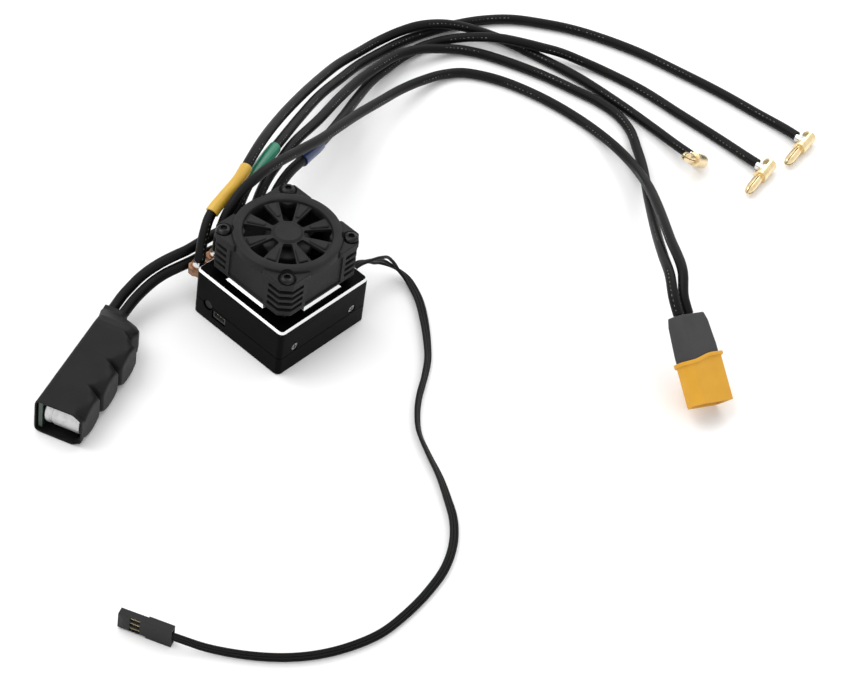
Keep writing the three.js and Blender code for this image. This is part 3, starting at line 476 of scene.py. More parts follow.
# %% [markdown]
# ## Power wires and their sleeves
# The insulation is cut off square, so a wire is a tube whose last ring is drawn in a little to round the
# cut. A sleeve is a second tube over a short stretch, with its rim turned inwards on to the wire.

# %% Power wires
WIRE = 3.5
POWER_WIRES = [name for name in ROUTES if name != "receiver_lead"]


def square_cut(path, radius):
    """Radii and a path for a tube with a short rounded rim at both ends."""
    ends = np.array([0.55, 0.88, 1.0])
    radii = np.full(len(path) + 4, radius)
    radii[:3], radii[-3:] = radius * ends, radius * ends[::-1]
    first, last = path[0], path[-1]
    lead_in = first + (path[1] - first) * np.array([[0.0], [0.02], [0.12]])
    lead_out = last + (path[-2] - last) * np.array([[0.12], [0.02], [0.0]])
    return np.concatenate([lead_in, path[1:-1], lead_out]), radii


pieces = {}
for name in POWER_WIRES:
    path, run = PATHS[name]
    shape, radii = square_cut(path, WIRE / 2)
    run = np.concatenate([[0, 0, 0], run[1:-1], [run[-1]] * 3]) * MM
    pieces[name] = tube(name + "_insulation", shape, radii, SILICONE, wire_uv=run)
print("wires:", len(pieces))

# %% Colour sleeves
SLEEVES = {
    "yellow": ("motor_a", 16.5, 38.5), "green": ("motor_b", 22.0, 43.0), "blue": ("motor_c", 27.0, 42.0),
}
SLEEVE_WALL = 0.45
for colour, (wire, start, end) in SLEEVES.items():
    path, run = PATHS[wire]
    part = path[(run >= start) & (run <= end)]
    ripple = 0.05 * np.cos(np.linspace(0, 9, len(part)))
    first, last = part[:1] + (part[:1] - part[1:2]) * 0.02, part[-1:] + (part[-1:] - part[-2:-1]) * 0.02
    shape = np.concatenate([first, part, last])
    radii = np.concatenate([[WIRE / 2 + 0.02], WIRE / 2 + SLEEVE_WALL + ripple, [WIRE / 2 + 0.02]])
    sleeve = tube(colour + "_shrink_sleeve", shape, radii, SHRINK[colour], sides=36)
    pieces[colour] = soften(sleeve, 0.12, 2, 50)
    settled(pieces[colour], colour + "_sleeve", "shrink_" + colour)
print("sleeves:", list(SLEEVES))

# %% [markdown]
# ## The receiver lead
# Three thin wires leave a grommet, spread a little, and then lie together as a flat ribbon, which leans
# more and less on its way and ends on its edge in the plug. Each strand is a tube that keeps its own
# distance to the side of the route and above it, and the three are kept as one mesh, because they are cut
# as one lead.

# %% Receiver lead
STRAND = 1.13
LEAN_AT = [0.0, 0.18, 0.3, 0.4, 0.52, 0.68, 0.8, 1.0]
LEAN = [0.0, 20.0, 65.0, 60.0, 25.0, 60.0, 75.0, 90.0]


def joined(name, parts):
    """One object with the meshes of several, which it takes the place of."""
    work = bmesh.new()
    for part in parts:
        work.from_mesh(part.data)
    whole = parts[0]
    work.to_mesh(whole.data)
    work.free()
    for part in parts[1:]:
        bpy.data.objects.remove(part)
    whole.name = name
    return whole


def hump(distance, centre, half_width):
    """1 at the centre, falling smoothly to nothing."""
    return np.exp(-((distance - centre) / half_width) ** 2)


def lead_strand(number, path, run):
    """Strand -1, 0 or 1 of the lead. The ribbon leans by an angle that changes along the run, and the strands
    stand apart where they leave the case, mostly above one another."""
    along = outward(np.gradient(path, axis=0))
    side = outward(np.cross(along, [0, 0, 1.0]))
    rise = np.cross(side, along)
    lean = np.radians(np.interp(run / run[-1], LEAN_AT, LEAN))
    pitch = number * STRAND * 0.97
    apart = number * hump(run, 15, 11)
    beside = pitch * np.cos(lean) + 0.4 * apart
    above = pitch * np.sin(lean) + 1.9 * apart
    centre = path + side * beside[:, None] + rise * above[:, None]
    centre[:, 2] = np.maximum(centre[:, 2], STRAND / 2 + 0.03)
    centre[-1] += along[-1] * 1.2
    return tube(f"strand_{number}", centre, STRAND / 2, LEAD_JACKET, sides=14, wire_uv=run * MM)


path, run = PATHS["receiver_lead"]
pieces["receiver_lead"] = joined("receiver_lead_strands", [lead_strand(k, path, run) for k in (-1, 0, 1)])
print("lead:", len(pieces["receiver_lead"].data.polygons), "faces")

# %% [markdown]
# ## Metals and mouldings
# Anodising leaves aluminium black with a fine satin grain, and a cut made after it shows bright metal. The
# fan is moulded in charcoal nylon with a fine spark texture. Contacts are gold over brass, joints are
# tinned.

# %% Metal and plastic finishes
def anodised():
    """Black anodised aluminium with an extremely fine grain."""
    finish = Finish("black_anodised", specular_ior_level=0.03)
    grain = finish.noise(5200, 2)
    broad = finish.noise(60, 2)
    deep, worn = (0.0008, 0.0008, 0.0009), (0.0014, 0.0014, 0.0016)
    finish.set("Base Color", finish.mix(broad.between(0.3, 0.7), deep, worn))
    finish.set("Roughness", 0.30 + broad * 0.08 + grain * 0.08)
    finish.bump(grain, 0.006, 0.5)
    return finish.material


def machined():
    """Bright cut aluminium, with fine lines along the cut."""
    finish = Finish("machined_edge", metallic=1.0)
    lines = finish.noise(300, 2, finish.stretched((1.0, 1.0, 40.0)))
    finish.set("Base Color", finish.mix(lines, (0.86, 0.86, 0.87), (0.95, 0.95, 0.95)))
    finish.set("Roughness", 0.34 + lines * 0.14)
    return finish.material


def moulded(name, dark, light, roughness, grain_scale=2600, depth=0.03, **values):
    """Moulded plastic with spark texture: fine grain over a slow drift of colour."""
    finish = Finish(name, **values)
    grain = finish.noise(grain_scale, 3)
    drift = finish.noise(120, 3)
    finish.set("Base Color", finish.mix(drift.between(0.3, 0.7), dark, light))
    finish.set("Roughness", roughness + grain * 0.12 + drift * 0.06)
    finish.bump(grain, depth, 0.6)
    return finish.material


def plated(name, colour, worn, roughness, lumps=0.0):
    """Plated metal, a little uneven, with lumps for solder."""
    finish = Finish(name, metallic=1.0)
    spots = finish.noise(700, 4)
    finish.set("Base Color", finish.mix(spots.between(0.4, 0.75), colour, worn))
    finish.set("Roughness", roughness + spots * 0.15)
    finish.bump(finish.noise(500, 3), max(lumps, 0.01), 0.5)
    return finish.material


def circuit_mask():
    """Solder mask over copper tracks, which stand up a little."""
    finish = Finish("circuit_mask", coat_weight=0.4, coat_roughness=0.2)
    x, y, _ = finish.split(finish.place())
    tracks = ((x * 900).fraction() > 0.62) * ((y * 500).fraction() > 0.3)
    finish.set("Base Color", finish.mix(tracks, (0.006, 0.020, 0.011), (0.012, 0.040, 0.020)))
    finish.set("Roughness", 0.38 + finish.noise(900) * 0.1)
    finish.bump(tracks, 0.05, 0.6)
    return finish.material


ANODISED = anodised()
MACHINED = machined()
FAN_PLASTIC = moulded("fan_charcoal", (0.007, 0.007, 0.0072), (0.0125, 0.0125, 0.0128), 0.5, 1700, 0.09,
                      specular_ior_level=0.22)
BLADE_PLASTIC = moulded("blade_black", (0.004, 0.004, 0.0042), (0.007, 0.007, 0.0073), 0.42,
                        specular_ior_level=0.3)
DARK_PLASTIC = moulded("connector_black", (0.005, 0.005, 0.0053), (0.008, 0.008, 0.0084), 0.42,
                       specular_ior_level=0.28)
PLUG_YELLOW = moulded("plug_yellow", (0.60, 0.295, 0.02), (0.64, 0.325, 0.026), 0.4, 1500, 0.02,
                      specular_ior_level=0.3)
PLUG_GREY = moulded("plug_grey", (0.035, 0.035, 0.0365), (0.043, 0.043, 0.0445), 0.55, 1800, 0.03,
                    specular_ior_level=0.3)
CHIP_BLACK = moulded("chip_black", (0.009, 0.009, 0.009), (0.014, 0.014, 0.014), 0.45, 4000, 0.02)
GAP_PAD = moulded("gap_pad", (0.22, 0.23, 0.25), (0.28, 0.29, 0.31), 0.8, 1200, 0.1)
SOFT_RUBBER = moulded("soft_rubber", (0.008, 0.008, 0.008), (0.013, 0.013, 0.013), 0.62, 2200, 0.05)
PACK_SHRINK = moulded("pack_shrink", (0.0048, 0.0044, 0.0044), (0.0075, 0.007, 0.007), 0.42, 700, 0.05,
                      specular_ior_level=0.17)
BLACK_STEEL = plated("black_steel", (0.020, 0.020, 0.021), (0.045, 0.045, 0.046), 0.30)
WORN_STEEL = plated("worn_steel", (0.30, 0.30, 0.31), (0.42, 0.42, 0.43), 0.32)
BRIGHT_STEEL = plated("bright_steel", (0.60, 0.61, 0.62), (0.52, 0.53, 0.54), 0.22)
GOLD = plated("gold_plate", (0.86, 0.70, 0.42), (0.74, 0.56, 0.30), 0.18)
SOLDER = plated("solder", (0.78, 0.78, 0.77), (0.60, 0.60, 0.59), 0.18, 0.25)
COPPER = plated("bare_copper", (0.36, 0.20, 0.12), (0.20, 0.11, 0.07), 0.34)
CAN = plated("capacitor_can", (0.58, 0.58, 0.58), (0.50, 0.50, 0.50), 0.42)
CIRCUIT = circuit_mask()
print("finishes made:", len(bpy.data.materials))

# %% [markdown]
# ## Outlines with round corners
# Most pieces start as a flat outline: a polygon whose corners are arcs. Insetting it keeps its sides
# parallel, which is how a chamfer or a wall is made, and a stack of insets at different heights is a solid.

# %% Outlines
TINY = 1e-6


def polygon_inset(outline, distance):
    """Move every side of a convex, counter-clockwise polygon inwards by a distance."""
    p = np.asarray(outline, float)
    edge = outward(np.roll(p, -1, 0) - p)
    normal = np.stack([-edge[:, 1], edge[:, 0]], 1)
    before, after = np.roll(normal, 1, 0), normal
    return p + distance * (before + after) / (1 + np.sum(before * after, 1))[:, None]


def rounded(outline, radius, steps=6):
    """The polygon with each corner replaced by an arc that touches both of its sides."""
    p = np.asarray(outline, float)
    to_last, to_next = outward(np.roll(p, 1, 0) - p), outward(np.roll(p, -1, 0) - p)
    half = np.arccos(np.clip(np.sum(to_last * to_next, 1), -1, 1)) / 2
    centre = p + outward(to_last + to_next) * (radius / np.sin(half))[:, None]
    start = p + to_last * (radius / np.tan(half))[:, None] - centre
    end = p + to_next * (radius / np.tan(half))[:, None] - centre
    sweep = (np.pi - 2 * half)[:, None, None]
    t = np.linspace(0, 1, steps + 1)[None, :, None]
    arc = (start[:, None] * np.sin((1 - t) * sweep) + end[:, None] * np.sin(t * sweep)) / np.sin(sweep)
    return (centre[:, None] + arc).reshape(-1, 2)


def stack(name, outline, radius, levels, *finishes, steps=6, bands=None):
    """A solid from (height, inset) levels of one rounded outline. bands gives a finish number to the sloping
    faces between a level and the next."""
    rows = []
    for height, inset in levels:
        flat = rounded(polygon_inset(outline, inset), max(radius - inset, 0.05), steps)
        rows.append(np.column_stack([flat, np.full(len(flat), height)]))
    points = np.stack(rows)
    made = grid(name, points, *finishes)
    for level, number in (bands or {}).items():
        low, high = sorted((levels[level][0] * MM + TINY, levels[level + 1][0] * MM - TINY))
        for face in made.data.polygons:
            if low < face.center.z < high:
                face.material_index = number
    return made


def square(half_x, half_y, cut=0.0):
    """A rectangle, counter-clockwise, with its corners cut off by a distance."""
    if cut == 0:
        return [(-half_x, -half_y), (half_x, -half_y), (half_x, half_y), (-half_x, half_y)]
    x, y = half_x - cut, half_y - cut
    return [(-x, -half_y), (x, -half_y), (half_x, -y), (half_x, y), (x, half_y), (-x, half_y), (-half_x, y),
            (-half_x, -y)]


def turned(name, profile, *finishes, sides=40, axis="z", centre=(0, 0, 0), ring=False):
    """A profile of (radius, height) turned about an axis through the centre. Both ends are shut, or with
    ring the profile closes on itself."""
    profile = np.asarray(profile, float)
    turn = np.linspace(0, 2 * np.pi, sides, endpoint=False)
    points = np.empty((len(profile), sides, 3))
    points[..., :2] = profile[:, None, :1] * np.stack([np.cos(turn), np.sin(turn)], 1)
    points[..., 2] = profile[:, None, 1]
    order = {"z": (0, 1, 2), "x": (2, 0, 1), "y": (1, 2, 0)}[axis]
    return grid(name, points[..., order] + np.array(centre), *finishes, ring=ring)


def prism(name, outline, low, high, *finishes, turn=0.0):
    """A flat outline raised between two heights and turned about Z by degrees."""
    c, s = np.cos(np.radians(turn)), np.sin(np.radians(turn))
    flat = np.asarray(outline, float) @ np.array([[c, s], [-s, c]])
    rows = [np.column_stack([flat, np.full(len(flat), height)]) for height in (low, high)]
    return grid(name, np.stack(rows), *finishes)


def carve(made, tools, operation="DIFFERENCE"):
    """Cut the tools out of a piece, or join them to it, and keep the result as a plain mesh."""
    for tool in tools:
        change = made.modifiers.new("carve", "BOOLEAN")
        change.operation, change.object, change.solver = operation, tool, "EXACT"
    bpy.context.view_layer.update()
    result = bpy.data.meshes.new_from_object(made.evaluated_get(bpy.context.evaluated_depsgraph_get()))
    made.modifiers.clear()
    made.data = result
    made.data.set_sharp_from_angle(angle=math.radians(SHARP))
    for tool in tools:
        bpy.data.objects.remove(tool)
    return made


def block(name, low, high, *finishes):
    """A box between two corners, mostly used as a cutter."""
    (x0, y0, z0), (x1, y1, z1) = low, high
    return prism(name, [(x0, y0), (x1, y0), (x1, y1), (x0, y1)], z0, z1, *finishes)


# %% [markdown]
# ## The case
# The case is two aluminium shells, milled, anodised and then chamfered along the top edge, so that the cut
# shines. Each shell is one stack of insets: up the outside, over the rim and down the inside. Holes are cut
# through it, and every edge is rounded a little so that it catches the light.

# %% Case shells
WALL = 1.6
CORNER = 1.8
CHAMFER = 0.65
CASE_TOP = 19.2
SCREW_X, SCREW_Z = 13.0, 9.2
BUTTON = (13.3, 7.0)
case_outline = square(CASE_X, CASE_Y)

upper = stack("upper_shell", case_outline, CORNER, [
    (16.2, WALL), (SEAM, WALL), (SEAM, 0.12), (SEAM + 0.12, 0.0), (CASE_TOP - CHAMFER, 0.0),
    (CASE_TOP, CHAMFER),
], ANODISED, MACHINED, bands={4: 1})
cutters = [
    block("tab_window", (-18.5, CASE_Y - WALL - 1, 11.1), (18.5, CASE_Y + 1, 16.9)),
    block("lead_window", (CASE_X - WALL - 1, -13.7, 13.5), (CASE_X + 1, -6.7, 17.1)),
    turned("button_bore", [(2.0, -24), (2.0, -17)], axis="x", centre=(0, *BUTTON), sides=32),
]
for x in (-SCREW_X, SCREW_X):
    for y in (-CASE_Y, CASE_Y):
        centre = (x, y, SCREW_Z)
        cutters.append(turned("screw_bore", [(1.5, -1.2), (1.5, 1.2)], axis="y", centre=centre, sides=24))
carve(upper, cutters)
soften(upper, 0.1, 2, 40)

lower = stack("lower_tray", case_outline, CORNER, [
    (1.8, WALL), (SEAM - 0.12, WALL), (SEAM - 0.12, 0.12), (SEAM - 0.24, 0.0), (0.35, 0.0), (0.0, 0.35),
], ANODISED)
carve(lower, [
    block("port_window", (-CASE_X - 1, 5.0, 3.1), (-CASE_X + WALL + 1, 11.2, 6.5)),
    turned("button_bore", [(2.0, -24), (2.0, -17)], axis="x", centre=(0, *BUTTON), sides=32),
])
soften(lower, 0.1, 2, 40)
settled(upper, "upper_case", "anodised_black")
settled(lower, "lower_case", "anodised_black")
print("case faces:", len(upper.data.polygons), len(lower.data.polygons))

# %% Plinth under the fan and the countersinks
BAR_HALF = 8.5
PLINTH = 17.8
plinth = []
for half_x, half_y in ((BAR_HALF, PLINTH), (PLINTH, BAR_HALF)):
    plinth.append(stack("plinth_bar", square(half_x, half_y), 0.2, [
        (CASE_TOP - 0.3, 0.0), (PLINTH_TOP - 0.8, 0.0), (PLINTH_TOP, 0.8),
    ], ANODISED, MACHINED, steps=3, bands={1: 1}))
plinth = joined("fan_plinth", plinth)
soften(plinth, 0.06, 2, 40)
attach(plinth, "case")

for k, (x, y) in enumerate([(-SCREW_X, -1), (SCREW_X, -1), (-SCREW_X, 1), (SCREW_X, 1)]):
    face = y * CASE_Y
    lip = [(2.02, face - y * 0.3), (2.02, face + y * 0.02), (1.9, face + y * 0.03), (1.5, face - y * 0.35),
           (1.5, face - y * 0.6), (1.9, face - y * 0.5)]
    rim = turned(f"countersink_{k + 1}", lip, ANODISED, axis="y", centre=(x, 0, SCREW_Z), sides=36)
    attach(rim, "case")

# %% [markdown]
# ## The fan
# The frame is a square ring of moulded nylon. Its sides are a little hollow, and four slots wrap each
# corner to let air out. All of it is one ring with pieces cut away. The rotor underneath is a drum with
# seven thin blades that lean into their turn, and each blade is a twisted strip: its angle and height both
# change from edge to edge.

# %% Fan frame
FAN = 17.5
FACET = 3.1
SLOT_DEPTH = 1.7
frame_levels = [(FAN_LOW[2], 0.25), (FAN_LOW[2] + 0.25, 0.0), (FAN_HIGH[2], 0.0)]
fan_ring = stack("fan_ring", square(FAN, FAN, FACET), 0.5, frame_levels, FAN_PLASTIC, steps=4)
cutters = [turned("air_bore", [(15.8, 20), (15.8, 36)], sides=96)]
reach, depth, facet = 20.0, FAN - SLOT_DEPTH, FAN - SLOT_DEPTH - 2.9
corner_slot = [(9.5, -reach), (reach, -reach), (reach, -9.5), (depth, -9.5), (depth, -facet), (facet, -depth),
               (9.5, -depth)]
for turn in (0, 90, 180, 270):
    hollow = [(-8, -reach), (8, -reach), (8, -FAN + 0.6), (-8, -FAN + 0.6)]
    cutters.append(prism("side_hollow", hollow, FAN_LOW[2] + 1.0, 40, turn=turn))
    for level in range(4):
        low = FAN_LOW[2] + 2.1 + level * 2.6
        cutters.append(prism("corner_slot", corner_slot, low, low + 1.4, turn=turn))
carve(fan_ring, cutters)
soften(fan_ring, 0.14, 2, 35)
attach(fan_ring, "case")

seat_profile = [(0, 22.4), (7.4, 22.4), (7.4, 23.7), (2.3, 23.7), (0, 23.6)]
floor_disc = turned("fan_motor_seat", seat_profile, FAN_PLASTIC, sides=48)
spoke = [(5, -0.9), (16.4, -0.9), (16.4, 0.9), (5, 0.9)]
spokes = [prism("fan_spoke", spoke, 22.3, 23.5, FAN_PLASTIC, turn=turn) for turn in (45, 135, 225, 315)]
carve(floor_disc, spokes, "UNION")
soften(floor_disc, 0.12, 2, 35)
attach(floor_disc, "case")
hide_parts("fan_frame")
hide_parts("fan_frame")
print("fan frame:", len(fan_ring.data.polygons), "faces")

# %% Rotor
BLADES = 7


def blade(number):
    """One blade. Across the blade t goes from -1 to 1: the angle is t times a half width that shrinks with
    the radius, and the height falls by t times the drop. The underside is the same strip, one thickness
    lower."""
    radius = np.linspace(7.6, 15.2, 14)[:, None]
    share = (radius - 7.6) / 7.6
    t = np.linspace(-1, 1, 13)[None]
    t = np.concatenate([t, t[:, ::-1]], 1)
    angle = number * 2 * np.pi / BLADES + t * (0.36 - 0.12 * share) + 0.3 * share
    lift = np.where(np.arange(26) < 13, -0.35, 0.35) * (1 - 0.7 * t**4)
    height = 28.9 - t * (3.6 - 0.6 * share) - 0.5 * (1 - t**2) + lift
    points = np.stack([radius * np.cos(angle), radius * np.sin(angle), height], -1)
    return grid("blade", points, BLADE_PLASTIC)


drum = [(7.2, 24.3), (8.0, 24.3), (8.1, 24.4), (8.1, 33.1), (7.5, 33.7), (0.9, 33.7), (0.9, 31.8),
        (7.2, 31.8)]
hub = turned("rotor_hub", drum, BLADE_PLASTIC, sides=72, ring=True)
rotor = joined("fan_blades_and_hub", [hub] + [blade(k) for k in range(BLADES)])
rotor.data.set_sharp_from_angle(angle=math.radians(50))
settled(rotor, "fan_rotor", "dark_plastic", "rotor")
print("rotor:", len(rotor.data.polygons), "faces")

# %% [markdown]
# ## The guard
# The guard is one moulding: a raised ring, eight petals round a flat hub, and an ear at each corner with a
# shallow bowl for its screw. It is put together from turned and raised outlines, joined, and cut by eight
# openings with round corners. A small bevel then runs round everything, as on any moulding.

# %% Guard
SCREW_PITCH = 14.4
EAR_TOP, RING_TOP, HUB_TOP = 37.0, 38.2, 38.15
ring_profile = [(14.4, 35.0), (18.0, 35.0), (18.0, 37.2), (17.75, 37.8), (17.1, RING_TOP), (15.3, RING_TOP),
                (14.75, 37.95), (14.4, 37.3)]
guard = turned("fan_guard_moulding", ring_profile, FAN_PLASTIC, sides=120, ring=True)
dish = [(0, 36.2), (14.8, 36.2), (14.8, 37.2), (9.5, 37.4), (6.0, 37.4), (5.0, 37.5), (4.5, 37.95),
        (4.25, HUB_TOP), (0, HUB_TOP)]
plate = turned("petal_plate", dish, FAN_PLASTIC, sides=120)
opening = rounded([(5.2, -1.45), (14.35, -3.1), (14.35, 3.1), (5.2, 1.45)], 0.7, 5)
panel = [(7.6, -0.7), (13.8, -1.7), (13.8, 1.7), (7.6, 0.7)]
for k in range(8):
    rib = stack("petal_panel", panel, 0.5, [(37.0, 0.0), (37.6, 0.0), (37.85, 0.3)], FAN_PLASTIC, steps=4)
    rib.data.transform(Matrix.Rotation(math.radians(22.5 + 45 * k), 4, "Z"))
    carve(plate, [rib], "UNION")
carve(plate, [prism("opening", opening, 30, 40, turn=45 * k) for k in range(8)])
ears = []
for turn in (0, 90, 180, 270):
    ear = stack("ear", [(6.2, -17.7), (14.6, -17.7), (17.7, -14.6), (17.7, -6.2), (9.5, -9.5)], 0.7,
                [(35.0, 0.0), (EAR_TOP - 0.25, 0.0), (EAR_TOP, 0.25)], FAN_PLASTIC, steps=4)
    ear.data.transform(Matrix.Rotation(math.radians(turn), 4, "Z"))
    ears.append(ear)
carve(guard, ears + [plate], "UNION")
bowl = [(0, 36.3), (2.5, 36.35), (2.95, 36.8), (3.15, 37.2), (3.4, 41.0), (0, 41.0)]
seats = [turned("bowl", bowl, centre=(x, y, 0), sides=40) for x in (-SCREW_PITCH, SCREW_PITCH)
         for y in (-SCREW_PITCH, SCREW_PITCH)]
carve(guard, seats)
soften(guard, 0.16, 3, 32)
settled(guard, "fan_guard", "fan_plastic")
print("guard:", len(guard.data.polygons), "faces")

# %% Screws of the guard and of the case
hexagon = [(1.15 * math.cos(a), 1.15 * math.sin(a)) for a in np.radians(np.arange(0, 360, 60))]
head = [(0, 20.0), (0.95, 20.0), (0.95, 36.35), (2.35, 36.4), (2.45, 36.6), (2.35, 36.9), (2.0, 37.3),
        (1.5, 37.55), (0, 37.65)]
for x, y, side in ((-1, -1, "front"), (1, -1, "right"), (-1, 1, "left"), (1, 1, "rear")):
    centre = (x * SCREW_PITCH, y * SCREW_PITCH, 0.3)
    screw = turned("guard_button_head_" + side, head, BLACK_STEEL, centre=centre, sides=48)
    socket = [(px + centre[0], py + centre[1]) for px, py in hexagon]
    carve(screw, [prism("socket", socket, 37.0, 40)])
    soften(screw, 0.07, 2, 40)
    settled(screw, "guard_screw_" + side, "black_steel")

CASE_SCREWS = [(-1, -1, "front_left"), (1, -1, "front_right"), (-1, 1, "rear_left"), (1, 1, "rear_right")]
for x, y, side in CASE_SCREWS:
    face = y * (CASE_Y - 0.3)
    profile = [(0, face - y * 4.8), (0.8, face - y * 4.8), (0.8, face - y * 1.0), (1.45, face - y * 0.25),
               (1.45, face), (0, face + y * 0.08)]
    screw = turned("case_screw_head_" + side, profile, WORN_STEEL, axis="y", sides=36,
                   centre=(x * SCREW_X, 0, SCREW_Z))
    near, far = sorted((face - y * 0.5, face + y * 1.0))
    slots = [block("slot", (x * SCREW_X - a, near, SCREW_Z - b), (x * SCREW_X + a, far, SCREW_Z + b))
             for a, b in ((0.95, 0.17), (0.17, 0.95))]
    carve(screw, slots)
    soften(screw, 0.05, 2, 40)
    settled(screw, "case_screw_" + side, "black_steel")
print("screws: 8")

# %% [markdown]
# ## Button and port
# The button is a small plunger that stands just inside its bore, with a dished end for a fingertip. The
# port is a moulded socket with three thin contacts. Both show on the same face of the case.

# %% Button and port
plunger = [(0, -19.45), (0.9, -19.5), (1.45, -19.62), (1.66, -19.5), (1.7, -19.2), (1.7, -18.05),
           (2.15, -18.0), (2.15, -17.25), (0, -17.25)]
button = turned("setup_plunger", plunger, DARK_PLASTIC, axis="x", centre=(0, *BUTTON), sides=48)
soften(button, 0.05, 2, 40)
settled(button, "setup_button", "dark_plastic", "button")

PORT_GREY = moulded("port_grey", (0.030, 0.030, 0.031), (0.040, 0.040, 0.041), 0.5)
port = block("port_socket", (-19.6, 5.3, 3.4), (-14.0, 10.9, 6.2), PORT_GREY)
carve(port, [block("mouth", (-22, 5.8, 3.9), (-16, 10.4, 5.7))])
soften(port, 0.12, 2, 40)
contacts = joined("port_contacts", [block("contact", (-18.9, y - 0.22, 4.6), (-15.8, y + 0.22, 5.0), GOLD)
                                    for y in (6.7, 8.1, 9.5)])
settled(port, "program_port", "dark_plastic")
settled(contacts, "program_port", "gold_plate")

# %% [markdown]
# ## Solder tabs
# Each thick wire is soldered upright on to a copper tab that comes out through the wall. The tinned strands
# show for a couple of millimetres under the cut insulation, and the solder climbs them in a hollow cone.

# %% Tabs and solder
TABS = {"motor_a": -15.6, "battery_minus": -7.8, "motor_b": 0.0, "battery_plus": 7.8, "motor_c": 15.6}
POST_Y, TAB_LOW, TAB_TOP = 22.6, 12.6, 15.4
for name, x in TABS.items():
    half = [(2.5, 15.0), (2.5, 21.2), (3.3, 22.2), (3.3, 24.2), (2.1, 25.4)]
    outline = [(x - half[0][0], half[0][1])] + [(x + a, b) for a, b in half]
    outline += [(x - a, b) for a, b in half[:0:-1]]
    tab = prism("tab_" + name, outline, TAB_LOW, TAB_TOP, COPPER)
    wall = [(2.62, -0.3), (2.62, 0.7), (2.5, 0.85), (2.2, 0.7), (2.2, -0.3)]
    rim = turned("rim", wall, COPPER, centre=(x, POST_Y, TAB_TOP), sides=40, ring=True)
    carve(tab, [rim], "UNION")
    soften(tab, 0.15, 2, 35)
    cone = [(0, -0.2), (2.35, 0.1), (2.3, 0.6), (1.95, 0.95), (1.6, 1.4), (1.42, 2.0), (1.38, 2.6), (0, 2.7)]
    joint = turned("solder_" + name, cone, SOLDER, centre=(x, POST_Y, TAB_TOP), sides=40)
    settled(tab, "solder_tab_" + name, "copper")
    settled(joint, "solder_tab_" + name, "bright_steel")
print("tabs:", len(TABS))

# %% [markdown]
# ## Pieces that lie at an angle
# The plugs and the capacitor pack lie turned on the table. Each is made upright in its own frame, where it
# is easy to draw, and its points are then carried over by one matrix, so its object still sits at the
# origin.

# %% Placing
def placed(made, origin, x_axis, y_axis):
    """Carry a mesh from its own frame to where its X and Y point along the given directions."""
    x = outward(np.array(x_axis, float))
    z = outward(np.cross(x, y_axis))
    turn = np.column_stack([x, np.cross(z, x), z, np.array(origin, float) * MM])
    made.data.transform(Matrix([*turn.tolist(), [0, 0, 0, 1]]))
    return made


# %% [markdown]
# ## Bullet plugs
# A bullet is turned from brass and gold plated. Two saw cuts cross its pin, so that the four fingers
# spring, and the wire is soldered into a half-open cup at a right angle. The solder pool and the tinned
# strands stay visible.

# %% Bullets
BULLET_PINS = {"motor_a": (-0.77, -0.06, 0.64), "motor_b": (-0.98, -0.2, 0.0), "motor_c": (-0.97, -0.22, 0.0)}
bullet_profile = [(0, -2.5), (2.3, -2.5), (2.5, -2.3), (2.5, 4.5), (2.35, 4.6), (2.2, 4.7), (2.5, 4.9),
                  (2.5, 6.0), (2.3, 6.2), (1.5, 6.3), (1.45, 6.7), (1.62, 7.6), (1.74, 9.0), (1.76, 12.0),
                  (1.66, 13.8), (1.35, 15.0), (0.95, 15.6), (0.5, 15.85), (0, 15.9)]
pool_profile = [(0, -1.75), (1.0, -1.7), (1.75, -1.1), (1.88, -0.2), (1.85, 0.7), (1.6, 1.4), (1.42, 2.2),
                (1.38, 3.8), (0, 3.9)]
for name, pin in BULLET_PINS.items():
    pin = outward(np.array(pin))
    end = np.array(ROUTES[name][-1])
    origin = end - 1.2 * pin + np.array([0, -3.7, 0])
    plug = turned("bullet_plug_" + name, bullet_profile, GOLD, axis="x", sides=48)
    carve(plug, [turned("cup", [(1.95, -1.6), (1.95, 3.9)], axis="x", sides=36),
                 block("mouth", (-1.6, 0.1, -3), (3.9, 3, 3)),
                 block("saw_cut", (7.4, -0.18, -3), (17, 0.18, 3)),
                 block("saw_cut", (7.4, -3, -0.18), (17, 3, 0.18))])
    soften(plug, 0.07, 2, 40)
    pool = turned("solder_pool_" + name, pool_profile, SOLDER, axis="y", centre=(1.2, 0, 0), sides=40)
    for made, slot in ((plug, "gold_plate"), (pool, "bright_steel")):
        placed(made, origin, pin, (0, 1, 0))
        settled(made, "bullet_" + name, slot)
        pieces[made.name] = made
print("bullets:", len(BULLET_PINS))

# %% [markdown]
# ## Battery plug
# The plug's yellow shell is a rectangle with two corners cut off, so that it can't go in the wrong way
# round. A grey cap covers the solder joints. Where they meet, the shell has a raised rim that runs in a
# slow S round the plug: every ring of points near the joint is shifted along the plug by the same wave.

# %% Battery plug
HEADING, TILT, PLUG_ROLL = np.radians([65.0, 32.0, -20.0])
plug_axis = np.array([-np.cos(HEADING) * np.cos(TILT), -np.sin(HEADING) * np.cos(TILT), -np.sin(TILT)])
plug_level = np.array([np.sin(HEADING), -np.cos(HEADING), 0.0])
plug_rise = np.cross(plug_axis, plug_level)
plug_wide = plug_level * np.cos(PLUG_ROLL) + plug_rise * np.sin(PLUG_ROLL)
plug_deep = np.cross(plug_axis, plug_wide)
PLUG_NOSE = (73.8, -122.5, 5.6)


def plug_outline(a, b, bevel):
    return [(-a + bevel, -b), (a, -b), (a, b), (-a + bevel, b), (-a, b - bevel), (-a, -b + bevel)]


